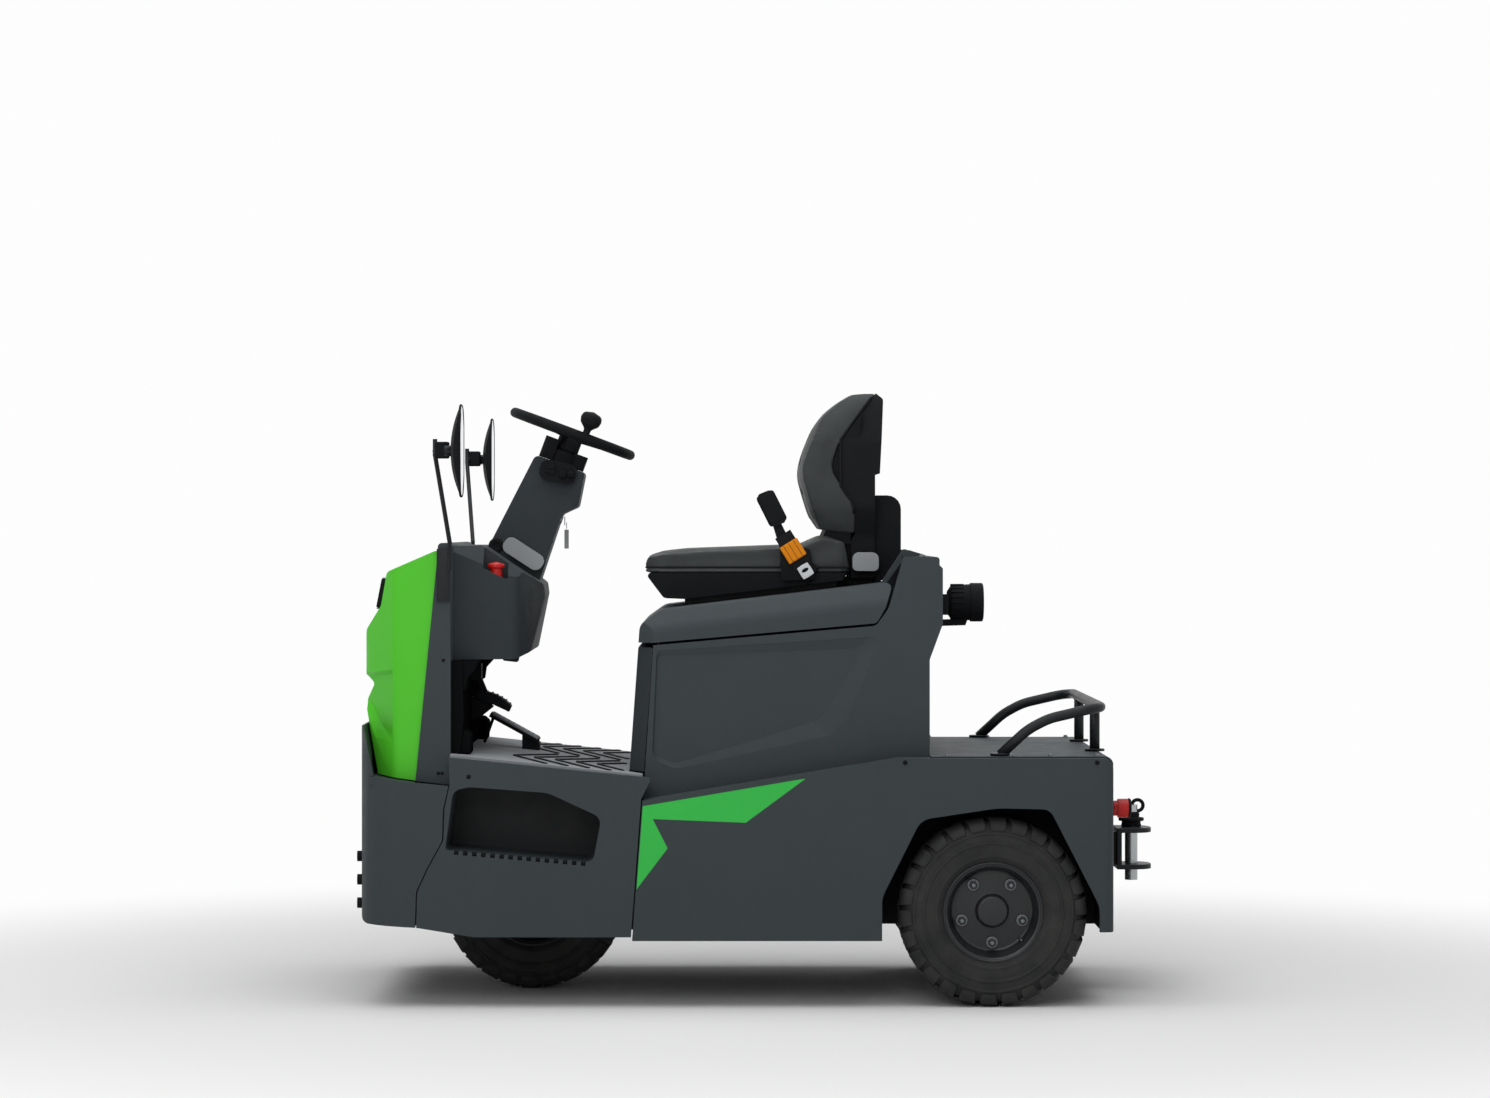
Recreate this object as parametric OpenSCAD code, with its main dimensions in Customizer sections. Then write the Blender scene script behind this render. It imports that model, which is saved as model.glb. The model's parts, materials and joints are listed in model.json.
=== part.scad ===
// Electric tow tractor with a single steered front wheel.
// Millimetres. +X forward, +Y left, +Z up, ground at Z = 0.

/* [Overall] */
// Length from the bumper studs to the tow jaw
overall_l = 1977; // [1950:1:2040]
// Width over the fender panels
body_w = 990; // [970:1:1040]
// Front end to front axle
nose_to_axle = 416; // [405:1:430]
// Reach of the tow jaw behind the rear panel
hitch_reach = 138; // [125:1:160]
// Rear panel's distance behind the wheel arch
tail_wall = 34; // [28:1:40]
// Thickness of the moulded body panels
panel_t = 22; // [16:1:26]
// Lower edge of the side panels
skirt_z = 163; // [150:1:180]

/* [Wheels] */
// Outside diameter of the tyres
tyre_d = 460; // [440:1:470]
// Width of the tyres
tyre_w = 160; // [140:1:170]
// Diameter of the rim flange
rim_d = 247; // [235:1:260]
// Wheel nuts on each rim
nut_count = 5; // [4:1:6]
// Circle of the wheel nuts
nut_pcd = 155; // [140:1:160]
// Depth of the rear tyre's outer face inside the fender
tyre_inset = 15; // [10:1:30]
// Room between the rear tyres and the arch behind them
arch_gap = 27; // [22:1:34]

/* [Floor and steps] */
// Height of the floor at the cowl over the front tyre
floor_over_tyre = 153; // [145:1:160]
// Fall of the floor to the rear, degrees
floor_slope = 6; // [5:0.5:7]
// Thickness of the floor plate with its mat
floor_t = 18; // [12:1:20]
// Height of the step tread at its front end
tread_z = 383; // [370:1:395]
// Pitch of the notches in the tread's edge
notch_pitch = 22; // [20:1:26]
// Gap between the rear tyres and the frame rails
rail_gap = 36; // [30:1:44]
// Thickness of the frame rails
rail_t = 12; // [8:1:14]

/* [Battery box and hood] */
// Width of the ledge beside the battery box
ledge_w = 70; // [58:1:82]
// Front tyre to the battery box at the floor
tyre_to_box = 18.5; // [16:0.5:26]
// Height of the hood seam at its front end
seam_front_z = 876; // [865:1:890]
// Rise of the hood seam to the rear, degrees
seam_slope = 5; // [4.5:0.5:5.5]
// Height of the hood's top at its front edge
hood_front_z = 963; // [955:1:970]
// Rise of the hood's top to the rear, degrees
hood_slope = 6.7; // [6:0.1:7]
// Gap round the hood
hood_gap = 6; // [5:0.5:8]
// Height of the tower behind the seat
tower_top_z = 1091; // [1085:1:1100]
// Height of the rear deck
deck_z = 608; // [600:1:616]
// Thread diameter of the two holes in the tower's top
tower_hole_d = 10; // [8:1:12]
// Inset of those holes from the tower's sides
tower_hole_inset = 40; // [30:1:60]

/* [Front] */
// Height of the cowl
cowl_top_z = 1125; // [1115:1:1140]
// Front axle to the cowl's rear face
axle_to_cowl = 184.5; // [182:0.5:192]
// Inset of the cowl's sides from the body's
cowl_inset = 45; // [38:1:54]
// Protrusion of the bumper studs
stud_h = 12; // [8:1:16]
// Diameter of the bumper studs
stud_d = 26; // [20:1:32]

/* [Steering] */
// Outside diameter of the steering wheel
swheel_d = 335; // [310:1:345]
// Thickness of the steering wheel's rim
swheel_rim_d = 25; // [20:1:30]
// Rake of the steering column, degrees
column_rake = 20.4; // [18:0.2:22]
// Diameter of the fork's spindle
spindle_d = 50; // [40:1:56]
// Diameter of the front axle pin
axle_pin_d = 30; // [24:1:34]

/* [Tow jaw and rack] */
// Clear height between the jaw's plates
jaw_gap = 80; // [60:1:90]
// Thickness of the jaw's plates
jaw_plate_t = 12; // [10:1:16]
// Height of the jaw's middle
jaw_z = 352; // [340:1:370]
// Diameter of the tow pin
pin_d = 32; // [25:1:36]
// Diameter of the rack tube
rack_tube_d = 25; // [20:1:28]

/* [Hidden] */
$fn = 64;

// Clearance between seated pieces
fit = 0.3;
// Overlap that keeps a cut clean
cut = 1;

// Stations along the vehicle
x_nose = overall_l / 2 - stud_h;
x_tail = -overall_l / 2 + hitch_reach;
x_f = overall_l / 2 - nose_to_axle;
tail_l = tyre_d / 2 + arch_gap + tail_wall;
wheelbase = overall_l - nose_to_axle - tail_l - hitch_reach;
x_r = x_f - wheelbase;
x_cowl = x_f + axle_to_cowl;
x_box = x_f - tyre_d / 2 - tyre_to_box;
floor_front_z = tyre_d + floor_over_tyre;
x_seam = x_box - 34;
x_tower = x_r + 151.5;
axle_z = tyre_d / 2;
hw = body_w / 2;
skin_y = hw - panel_t;
box_y = hw - ledge_w;
cowl_y = hw - cowl_inset;
side_y = box_y - 25;
deck_t = 22;
deck_y = skin_y - fit;
rear_in_y = hw - tyre_inset - tyre_w;
rail_out = rear_in_y - rail_gap;
rail_y = rail_out - rail_t;

// Sloping lines seen from the side
ledge_front_z = floor_front_z - 111;
ledge_rear_z = deck_z - 4;
x_knee = x_tower + 78;
seam_x = x_box - 60;
nose_x = x_box - 78;
function floor_z(x) = floor_front_z - (x_cowl - x) * tan(floor_slope);
function ledge_z(x) = x < x_knee ? ledge_rear_z
    : ledge_rear_z + (ledge_front_z - ledge_rear_z) * (x - x_knee) / (x_seam - x_knee);
function seam_z(x) = seam_front_z + (seam_x - x) * tan(seam_slope);
function hood_z(x) = hood_front_z + (nose_x - x) * tan(hood_slope);

// Unit vector of a plane vector
function unit(v) = v / norm(v);
// Arc that rounds corner b between its neighbours a and c
function corner(a, b, c) =
    b[2] <= 0 ? [[b[0], b[1]]] :
    let (p = [b[0], b[1]],
         u = unit([a[0], a[1]] - p),
         v = unit([c[0], c[1]] - p),
         half = acos(u * v) / 2,
         o = p + unit(u + v) * b[2] / sin(half),
         s = p + u * b[2] / tan(half) - o,
         e = p + v * b[2] / tan(half) - o,
         a0 = atan2(s[1], s[0]),
         turn = atan2(s[0] * e[1] - s[1] * e[0], s * e),
         steps = max(2, ceil(abs(turn) / 18)))
    [for (i = [0:steps]) o + b[2] * [cos(a0 + turn * i / steps), sin(a0 + turn * i / steps)]];
// Outline from rows of [across, up, corner radius]
function outline(rows) =
    let (n = len(rows))
    [for (i = [0:n - 1]) each corner(rows[(i + n - 1) % n], rows[i], rows[(i + 1) % n])];
// Rows moved by a vector
function moved(rows, d) = [for (r = rows) [r[0] + d[0], r[1] + d[1], r[2]]];
// Rows grown about a centre
function grown(rows, c, k) = [for (r = rows) [c[0] + (r[0] - c[0]) * k, c[1] + (r[1] - c[1]) * k, r[2] * k]];
// Half outline and its mirror image about the first axis
function mirrored(rows) = concat(rows, [for (i = [len(rows) - 1:-1:0]) [rows[i][0], -rows[i][1], rows[i][2]]]);

// Prism of a side outline between two Y stations
module slab(rows, y0, y1) {
    translate([0, y1, 0]) rotate([90, 0, 0]) linear_extrude(y1 - y0) polygon(outline(rows));
}
// Prism of a plan outline between two heights
module plate(rows, z0, z1) {
    translate([0, 0, z0]) linear_extrude(z1 - z0) polygon(outline(rows));
}
// Prism of a front outline between two X stations, rows are [y, z, radius]
module frontal(rows, x0, x1) {
    translate([x0, 0, 0]) rotate([90, 0, 90]) linear_extrude(x1 - x0) polygon(outline(rows));
}
// Box from its lowest to its highest corner
module box(lo, hi) { translate(lo) cube(hi - lo); }
// Round bar along Y
module ybar(x, z, r, y0, y1) { translate([x, y1, z]) rotate([90, 0, 0]) cylinder(r = r, h = y1 - y0); }
// Round bar along X
module xbar(y, z, r, x0, x1) { translate([x0, y, z]) rotate([0, 90, 0]) cylinder(r = r, h = x1 - x0); }
// Swelling of a weld bead over its tube
weld = 1.04;
// Round bar through a row of points
module bar(points, r) {
    for (i = [0:len(points) - 2]) {
        d = points[i + 1] - points[i];
        translate(points[i]) rotate([0, acos(d[2] / norm(d)), atan2(d[1], d[0])]) cylinder(r = r, h = norm(d));
    }
    for (i = [1:1:len(points) - 2]) {
        d = unit(points[i] - points[i - 1]) + unit(points[i + 1] - points[i]);
        translate(points[i]) rotate([0, acos(d[2] / norm(d)), atan2(d[1], d[0])]) sphere(r = r * weld);
    }
}
// The shape and its mirror image on the right side
module both_sides() {
    children();
    mirror([0, 1, 0]) children();
}

// Chassis

fork_top_z = axle_z + tyre_d / 2 + 30;
head_z = fork_top_z + 6;
rail_low_z = skirt_z + 22;
rail_mid_z = floor_front_z - 73;
rail_axle_z = axle_z + 70;
rail_nose_x = x_nose - panel_t - fit;
x_tray_front = x_box - 24;
x_tray_rear = x_r + 280;
module frame_rails() {
    rows = [
        [rail_nose_x, axle_z + 10, 0], [rail_nose_x, rail_mid_z - 12, 0], [x_cowl, rail_mid_z - 12, 0],
        [x_cowl, floor_z(x_cowl) - floor_t - 6, 0], [x_box + fit, floor_z(x_box) - floor_t - 6, 0],
        [x_box, rail_mid_z - 12, 0], [x_tray_rear, rail_mid_z, 30], [x_tray_rear - 40, deck_z - deck_t - fit, 0],
        [x_tail + panel_t + fit, deck_z - deck_t - fit, 0], [x_tail + panel_t + fit, rail_axle_z, 0],
        [x_tray_rear - 25, rail_axle_z, 40], [x_tray_rear, rail_low_z, 0], [x_f + 230, rail_low_z, 30]
    ];
    color("#2b2d30") both_sides() slab(rows, rail_y, rail_out);
}

module steering_head() {
    bearing_r = spindle_d / 2 + 20;
    color("#2b2d30") difference() {
        union() {
            box([x_tray_front + 20, -rail_y + fit, head_z], [x_cowl + 20, rail_y - fit, head_z + 14]);
            translate([x_f, 0, head_z]) cylinder(r = bearing_r, h = 50);
        }
        translate([x_f, 0, head_z - cut]) cylinder(r = spindle_d / 2 + fit, h = 50 + 2 * cut);
    }
}

module battery_tray() {
    wall = 8;
    color("#2b2d30") union() {
        box([x_tray_rear, -rail_y + fit, rail_low_z], [x_tray_front, rail_y - fit, rail_low_z + wall]);
        for (x = [x_tray_rear, x_tray_front - wall])
            box([x, -rail_y + fit, rail_low_z], [x + wall, rail_y - fit, rail_mid_z - 20]);
    }
}

battery_top_z = seam_front_z - 56;
module battery_pack() {
    color("#3a3d42")
        box([x_tray_rear + 14, -rail_y + 12, rail_low_z + 8 + fit], [x_tray_front - 36, rail_y - 12, battery_top_z]);
}

hub_bore_r = 30;
hub_y = hw - tyre_inset - 55;
module rear_axle() {
    color("#26282b") union() {
        ybar(x_r, axle_z, 50, -hub_y + 90, hub_y - 90);
        both_sides() {
            ybar(x_r, axle_z, 70, hub_y - 90, hub_y - 70);
            ybar(x_r, axle_z, hub_bore_r - fit, hub_y - 70, hub_y - 12);
            box([x_r - 60, rail_y - 14, axle_z + 30], [x_r + 60, rail_out + 10, rail_axle_z - fit]);
        }
        ybar(x_r, axle_z, 115, -75, 75);
        xbar(0, axle_z + 20, 92, x_r + 60, x_r + 262);
    }
}

// Body: front

apron_top_z = floor_front_z - 68;
apron_peak_z = apron_top_z + 170;
// Rise of the green cover over the apron, and heights on it by shares of that rise
cover_h = cowl_top_z - apron_peak_z;
function cover_z(share) = apron_peak_z + cover_h * share;
apron_rows = [
    [x_nose, 203, 20], [x_nose, apron_peak_z, 4], [x_nose - 34, apron_top_z + 13, 0], [x_cowl + 86, apron_top_z, 0],
    [x_cowl + 2, apron_top_z - 8, 0],
    [x_cowl + 15, apron_top_z - 65, 20], [x_cowl + 17, apron_top_z - 139, 20], [x_cowl + 54, apron_top_z - 207, 20],
    [x_cowl + 80, apron_top_z - 263, 20],
    [x_cowl + 83, 195, 0]
];
apron_corner = 95;
function nose_plan(inset) = mirrored([
    [x_nose - inset, hw - inset, apron_corner - inset], [x_cowl - 20, hw - inset, 0]
]);
module front_apron() {
    color("#44494f") union() {
        intersection() {
            slab(apron_rows, -hw, hw);
            difference() {
                plate(nose_plan(0), 150, apron_peak_z + 45);
                plate(nose_plan(panel_t), 150 - cut, apron_peak_z + 45 + cut);
                box([x_cowl - 21, -skin_y, 150 - cut], [x_cowl + 100, skin_y, apron_peak_z + 45 + cut]);
            }
        }
        slab([[x_nose - panel_t - 2, apron_top_z + 14, 0], [x_cowl + 87, apron_top_z, 0], [x_cowl + 87, apron_top_z - 12, 0],
              [x_nose - panel_t - 2, apron_top_z - 5, 0]], -skin_y - cut, skin_y + cut);
    }
}

// The green cover: side outline, plan outline and the same pair set in by the wall
cover_rows = [
    [x_cowl + 30 + fit, cowl_top_z - 16, 6], [x_nose - 62, cowl_top_z - 71, 14], [x_nose - 46, cover_z(257 / 410), 10],
    [x_nose - 4, cover_z(195 / 410), 22], [x_nose - 4, cover_z(87 / 410), 12],
    [x_nose - 27, cover_z(66 / 410), 10], [x_nose - 7, cover_z(26 / 410), 10],
    [x_nose - 7, apron_peak_z + 1, 0], [x_nose - 38, apron_top_z + 16, 0], [x_cowl + 85 + fit, apron_top_z + 3, 0]
];
cover_t = 18;
cover_inner_rows = [
    [x_cowl + 20, cowl_top_z - 36, 0], [x_nose - 82, cowl_top_z - 90, 0], [x_nose - 66, cover_z(251 / 410), 0],
    [x_nose - 24, cover_z(189 / 410), 0],
    [x_nose - 24, cover_z(93 / 410), 0], [x_nose - 47, cover_z(65 / 410), 0], [x_nose - 58, apron_top_z - 14, 0], [x_cowl + 60, apron_top_z - 27, 0]
];
function cover_plan(inset) = mirrored([
    [x_nose + 5 - inset, 120, 0], [x_nose - 4 - inset, cowl_y - 120 - inset / 2, 60],
    [x_nose - 82, cowl_y - 10 - inset, 28], [x_cowl - 10, cowl_y - 2 - inset, 0]
]);
lamp_tilt = 11;
lamp_h = 80;
lamp_w = 150;
lamp_lens_r = 29;
lamp_y = cowl_y - 235;
module at_lamp() { translate([x_nose - 51, lamp_y, cover_z(283 / 410)]) rotate([0, -lamp_tilt, 0]) children(); }
module front_cover() {
    color("#52b531") difference() {
        intersection() {
            slab(cover_rows, -hw, hw);
            plate(cover_plan(0), apron_top_z - 45, cowl_top_z);
        }
        intersection() {
            slab(cover_inner_rows, -hw, hw);
            plate(cover_plan(cover_t), apron_top_z - 95, cowl_top_z);
        }
        both_sides() at_lamp() box([-60, -lamp_w / 2, -lamp_h / 2], [60, lamp_w / 2, lamp_h / 2]);
    }
}

module headlamps() {
    face = 8;
    half = [lamp_w / 2 - fit, lamp_h / 2 - fit];
    body = [[-half[0], -half[1], 6], [half[0], -half[1], 6], [half[0], half[1], 6], [-half[0], half[1], 6]];
    color("#dfe6ea") both_sides() at_lamp() union() {
        difference() {
            frontal(body, -42, face);
            for (s = [-1, 1]) xbar(s * lamp_w / 4, 0, lamp_lens_r, face - 12, face + cut);
        }
        for (s = [-1, 1]) translate([face - 14, s * lamp_w / 4, 0]) rotate([0, 90, 0]) rotate_extrude()
            polygon(outline([[0, 0, 0], [19, 0, 0], [17, 7, 4], [0, 10, 0]]));
    }
}

module front_cowl() {
    front = [[x_cowl + 33, cowl_top_z, 10], [x_cowl + 30, cowl_top_z - 16, 0],
             [x_cowl + 85, apron_top_z + 2, 0]];
    color("#44494f") difference() {
        slab(concat([[x_cowl, cowl_top_z, 14]], front, [[x_cowl, apron_top_z - 8 + fit, 0]]), -cowl_y, cowl_y);
        slab([[x_cowl + 20, cowl_top_z - 24, 0], [x_cowl + 120, cowl_top_z - 24, 0],
              [x_cowl + 120, apron_top_z - 15, 0], [x_cowl + 20, apron_top_z - 15, 0]], -cowl_y + 22, cowl_y - 22);
    }
}

bulkhead_top_z = cowl_top_z - 287;
module footwell_bulkhead() {
    rows = [[x_cowl - fit, bulkhead_top_z, 0], [x_cowl - 26, bulkhead_top_z, 8], [x_cowl - 30, floor_front_z + 87, 60],
            [x_cowl - 22, floor_z(x_cowl - 22) + fit, 0], [x_cowl - fit, floor_z(x_cowl) + fit, 0]];
    color("#1b1c1e") slab(rows, -cowl_y + 30, cowl_y - 30);
}

dash_low_z = bulkhead_top_z + fit;
dash_y = cowl_y - 150;
dash_edge = [x_cowl - 67, cowl_top_z - 7];
dash_tip = [x_cowl - 212, cowl_top_z - 103];
dash_rise = atan2(dash_edge[1] - dash_tip[1], dash_edge[0] - dash_tip[0]);
// Foot of the stop switch in its pocket on the left
stop_at = [x_cowl - 102, dash_y - 8, cowl_top_z - 88];
module dash_pod() {
    side = [[x_cowl - fit, dash_edge[1], 0], [dash_edge[0], dash_edge[1], 10], [dash_tip[0], dash_tip[1], 10],
            [x_cowl - 216, cowl_top_z - 130, 12], [x_cowl - 184, dash_low_z + 16, 12], [x_cowl - 150, dash_low_z, 8],
            [x_cowl - fit, dash_low_z, 0]];
    plan = mirrored([[x_cowl - 216, 130, 40], [x_cowl - 156, dash_y, 40], [x_cowl, dash_y + 45, 0]]);
    bevel = [[dash_y + 46, -320, 0], [dash_y + 46, -50, 0], [dash_y - 30, 0.5, 8], [-dash_y + 30, 0.5, 8],
             [-dash_y - 46, -50, 0], [-dash_y - 46, -320, 0]];
    color("#3d4247") difference() {
        union() {
            intersection() {
                slab(side, -cowl_y, cowl_y);
                plate(plan, dash_low_z - 10, cowl_top_z);
                translate([dash_tip[0], 0, dash_tip[1]]) rotate([0, -dash_rise, 0]) frontal(bevel, -200, 400);
            }
            slab([[x_cowl - 150, dash_low_z + 4, 0], [x_cowl - 146, dash_low_z - 14, 4], [x_cowl - 110, dash_low_z - 10, 4],
                  [x_cowl - 106, dash_low_z + 4, 0]], 60, 110);
        }
        plate([[stop_at[0] - 30, stop_at[1] - 28, 12], [stop_at[0] + 30, stop_at[1] - 28, 12], [stop_at[0] + 30, hw, 0],
               [stop_at[0] - 30, hw, 0]], stop_at[2] - fit, cowl_top_z + cut);
    }
}

// Steering column and controls

x_sw = x_cowl - 280;
z_sw = cowl_top_z + 275;
column_y = 75;
column_top = -82;
shaft_r = 14;
module at_wheel() { translate([x_sw, 0, z_sw]) rotate([0, -column_rake, 0]) children(); }
// Side-view point in the column's own frame: u ahead of its axis, w along it
function on_column(u, w) = [x_sw + u * cos(column_rake) - w * sin(column_rake),
                            z_sw + u * sin(column_rake) + w * cos(column_rake)];
function column_row(u, w, r) = [on_column(u, w)[0], on_column(u, w)[1], r];
function dash_z(x) = dash_tip[1] + (x - dash_tip[0]) * (dash_edge[1] - dash_tip[1]) / (dash_edge[0] - dash_tip[0]);

module column_cover() {
    foot_x = dash_tip[0] + 12;
    head_x = dash_edge[0] - 4;
    rows = [
        column_row(66, column_top, 14), column_row(-66, column_top, 10), column_row(-80, -168, 12),
        column_row(-48, -200, 16), column_row(-52, -318, 30), [foot_x, dash_z(foot_x) + fit, 0],
        [head_x, dash_z(head_x) + fit, 0]
    ];
    color("#3d4247") difference() {
        intersection() {
            slab(rows, -column_y, column_y);
            at_wheel() plate(mirrored([[112, column_y, 38], [-92, column_y, 30]]), -420, -60);
        }
        at_wheel() translate([0, 0, -165]) cylinder(r = shaft_r + fit, h = 120);
    }
}

module switch_pod() {
    length = 92;
    height = 52;
    foot = column_top + fit;
    color("#1b1c1e") at_wheel() difference() {
        union() {
            translate([0, 0, foot]) cylinder(r = 40, h = 32);
            plate([[24, -36, 0], [60, -36, 14], [60, 36, 14], [24, 36, 0]], foot, -26);
            plate([[-24, -28, 0], [-58, -28, 12], [-58, 28, 12], [-24, 28, 0]], foot, -44);
        }
        translate([0, 0, foot - cut]) cylinder(r = 36, h = 70);
    }
    color("#1b1c1e") both_sides() translate([x_sw + 34, column_y + fit + 28, z_sw - 98]) rotate([0, -12, 0])
        rotate([90, 0, 0]) linear_extrude(28) polygon(outline([
            [-length / 2, -height / 2, 22], [length / 2, -height / 2, 22], [length / 2, height / 2, 22],
            [-length / 2, height / 2, 22]]));
}

module tilt_lever() {
    length = 112;
    height = 42;
    color("#8c9094") translate([x_cowl - 160, column_y + fit + 34, dash_z(x_cowl - 160) + 40]) rotate([0, -33, 0])
        rotate([90, 0, 0]) linear_extrude(34) polygon(outline([
            [-length / 2, -height / 2, 18], [length / 2, -height / 2, 18], [length / 2, height / 2, 18],
            [-length / 2, height / 2, 18]]));
}

module stop_switch() {
    color("#c4161c") translate(stop_at) rotate_extrude() polygon(outline([
        [0, 0, 0], [16, 0, 0], [15, 24, 4], [21, 27, 3], [21, 36, 5], [0, 41, 0]]));
}

// Rim, spokes, hub, shaft and spinner knob
module steering_wheel() {
    ring_r = (swheel_d - swheel_rim_d) / 2;
    knob_at = 104;
    color("#1b1c1e") at_wheel() union() {
        rotate_extrude() translate([ring_r, 0]) circle(r = swheel_rim_d / 2);
        for (a = [60, 180, 300]) rotate([0, 0, a]) {
            dish = 8;
            translate([20, 0, -dish]) rotate([0, 90 - atan2(dish, ring_r - 20), 0]) cylinder(r = 9, h = ring_r - 14);
        }
        translate([0, 0, -44]) cylinder(r = 30, h = 46);
        translate([0, 0, column_top + 6]) cylinder(r = 26, h = 40);
        translate([0, 0, -158]) cylinder(r = shaft_r, h = 130);
        rotate([0, 0, knob_at]) translate([ring_r, 0, 0]) {
            rotate_extrude() polygon(outline([
                [0, 0, 0], [9, 0, 0], [9, 22, 8], [24, 36, 8], [27, 48, 8], [24, 62, 12], [0, 68, 0]]));
        }
    }
}

// Brake pedal on its arm and treadle on its hinge block
module pedals() {
    pad_w = 64;
    brake_y = 70;
    treadle_y = -110;
    module bar_side(a, b, t, y, w) {
        d = b - a;
        translate([a[0], y, a[1]]) rotate([0, -atan2(d[1], d[0]), 0]) box([0, -w / 2, -t / 2], [norm(d), w / 2, t / 2]);
    }
    color("#1b1c1e") {
        union() {
            bar_side([x_cowl - 126, floor_front_z + 93], [x_cowl - 44, floor_front_z + 131], 14, brake_y, pad_w);
            bar_side([x_cowl - 70, floor_front_z + 117], [x_cowl - 44, bulkhead_top_z - 44], 12, brake_y, 20);
            box([x_cowl - 54, brake_y - 22, bulkhead_top_z - 58], [x_cowl - 28, brake_y + 22, bulkhead_top_z - 18]);
        }
        union() {
            bar_side([x_cowl - 190, floor_front_z + 4], [x_cowl - 66, floor_front_z + 72], 12, treadle_y, 74);
            bar([[x_cowl - 74, treadle_y, floor_front_z + 66], [x_cowl - 50, treadle_y, floor_front_z - 1]], 4);
            slab([[x_cowl - 193, floor_z(x_cowl - 193) + fit, 0], [x_cowl - 148, floor_z(x_cowl - 148) + fit, 0],
                  [x_cowl - 148, floor_front_z + 25, 0], [x_cowl - 193, floor_front_z, 0]], treadle_y - 30, treadle_y + 30);
        }
    }
}

// Floor and steps

module floor_plate() {
    y = skin_y - fit;
    side = [[x_cowl - fit, floor_z(x_cowl), 0], [x_seam, floor_z(x_seam), 0], [x_seam, floor_z(x_seam) - floor_t, 0],
            [x_cowl - fit, floor_z(x_cowl) - floor_t, 0]];
    plan = mirrored([[x_cowl, y, 0], [x_seam + fit, y, 0], [x_seam + fit, box_y + 1, 0],
                     [x_box + 1, box_y - chamfer[1] + 2, 0]]);
    color("#232527") intersection() {
        slab(side, -hw, hw);
        plate(plan, floor_front_z - 213, floor_front_z + 87);
    }
}

// Seam between apron and step panel: rows are [ahead of the cowl, over the apron's top, radius]
function step_seam(gap) = [for (r = [[2, -5, 0], [15, -65, 20], [17, -139, 20], [54, -207, 20], [80, -263, 20],
                                     [83, 195 - apron_top_z, 0]]) [x_cowl + r[0] - gap, apron_top_z + r[1], r[2]]];
seam_gap = 3;
recess_mid = [x_cowl - 175, (tread_z + floor_front_z - 96) / 2];
recess_rows = [
    [x_cowl + 10, tread_z, 8], [x_cowl - 9, floor_front_z - 86, 25], [x_cowl - 50, floor_front_z - 78, 40],
    [x_cowl - 239, floor_front_z - 92, 80], [x_cowl - 368, floor_front_z - 152, 25], [x_cowl - 347, tread_z - 31, 20]
];
module step_panel() {
    top = 7;
    rows = concat(
        [[x_cowl + 1, floor_z(x_cowl) - top, 0]], step_seam(seam_gap),
        [[x_cowl - 60, skirt_z + 9, 60], [x_seam + 25 + seam_gap, skirt_z + 9, 0],
         [x_seam + seam_gap, ledge_front_z + 4, 0], [x_seam - 22, floor_z(x_seam) - top, 6]]);
    tread_slope = atan2(31, 357);
    notch = [notch_pitch / 2, 9];
    difference() {
        union() {
            slab(rows, skin_y, hw);
            intersection() {
                slab(grown(recess_rows, recess_mid, 1.08), rail_out + fit, skin_y + cut);
                slab(rows, rail_out, hw);
            }
        }
        slab(recess_rows, rail_out, hw + cut);
        translate([x_cowl + 10, 0, tread_z]) rotate([0, -tread_slope, 0])
            for (i = [1:15])
                box([-notch_pitch * i - notch[0], skin_y + 4, -notch[1]], [-notch_pitch * i, hw + cut, cut]);
    }
}
module step_panel_left() { color("#44494f") step_panel(); }
module step_panel_right() { color("#44494f") mirror([0, 1, 0]) step_panel(); }

// Rear body

// Wheel arch round the rear axle, open downwards
function arch_rows(grow) = let (tr = tyre_d / 2) [
    [x_r + tr + 40 + grow, -50, 0], [x_r + tr + 40 + grow, axle_z + 38, 50],
    [x_r + tr - 54 + grow, axle_z + tr - 4 + grow, 45], [x_r - 10, axle_z + tr + 24 + grow, 200],
    [x_r - tr + 94 - grow, axle_z + tr + 21 + grow, 30], [x_r - tr - arch_gap - grow, axle_z + 15, 60],
    [x_r - tr - arch_gap - grow, -50, 0]
];
module fender_panel() {
    low = skirt_z + 21;
    ledge_t = 18;
    intersection() {
        union() {
            difference() {
                slab([[x_seam, ledge_front_z, 0], [x_knee, ledge_rear_z, 60], [x_tail, ledge_rear_z, 26],
                      [x_tail, low, 4], [x_r, low, 0], [x_r, skirt_z, 0], [x_seam + 25, skirt_z, 0]], skin_y, hw);
                slab(arch_rows(0), skin_y - cut, hw + cut);
            }
            slab([[x_seam - 2, ledge_z(x_seam - 2), 0], [x_knee, ledge_rear_z, 60], [x_tower + fit, ledge_rear_z, 0],
                  [x_tower + fit, ledge_rear_z - ledge_t, 0], [x_knee, ledge_rear_z - ledge_t, 60],
                  [x_seam - 2, ledge_z(x_seam - 2) - ledge_t, 0]], box_y + fit, skin_y + cut);
        }
        plate(mirrored([[x_tail, hw, panel_t], [x_cowl, hw, 0]]), 0, 800);
    }
}
module fender_panel_left() { color("#44494f") fender_panel(); }
module fender_panel_right() { color("#44494f") mirror([0, 1, 0]) fender_panel(); }

module arch_liners() {
    wall = 8;
    inner_y = rail_out + 14;
    color("#17181a") both_sides() intersection() {
        difference() {
            slab(arch_rows(3 + wall), inner_y, skin_y - fit);
            slab(arch_rows(3), inner_y + wall, skin_y);
            ybar(x_r, axle_z, 62, inner_y - cut, inner_y + wall + cut);
        }
        box([x_tail, 0, skirt_z + 24], [x_box, hw, 700]);
    }
}

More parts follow.
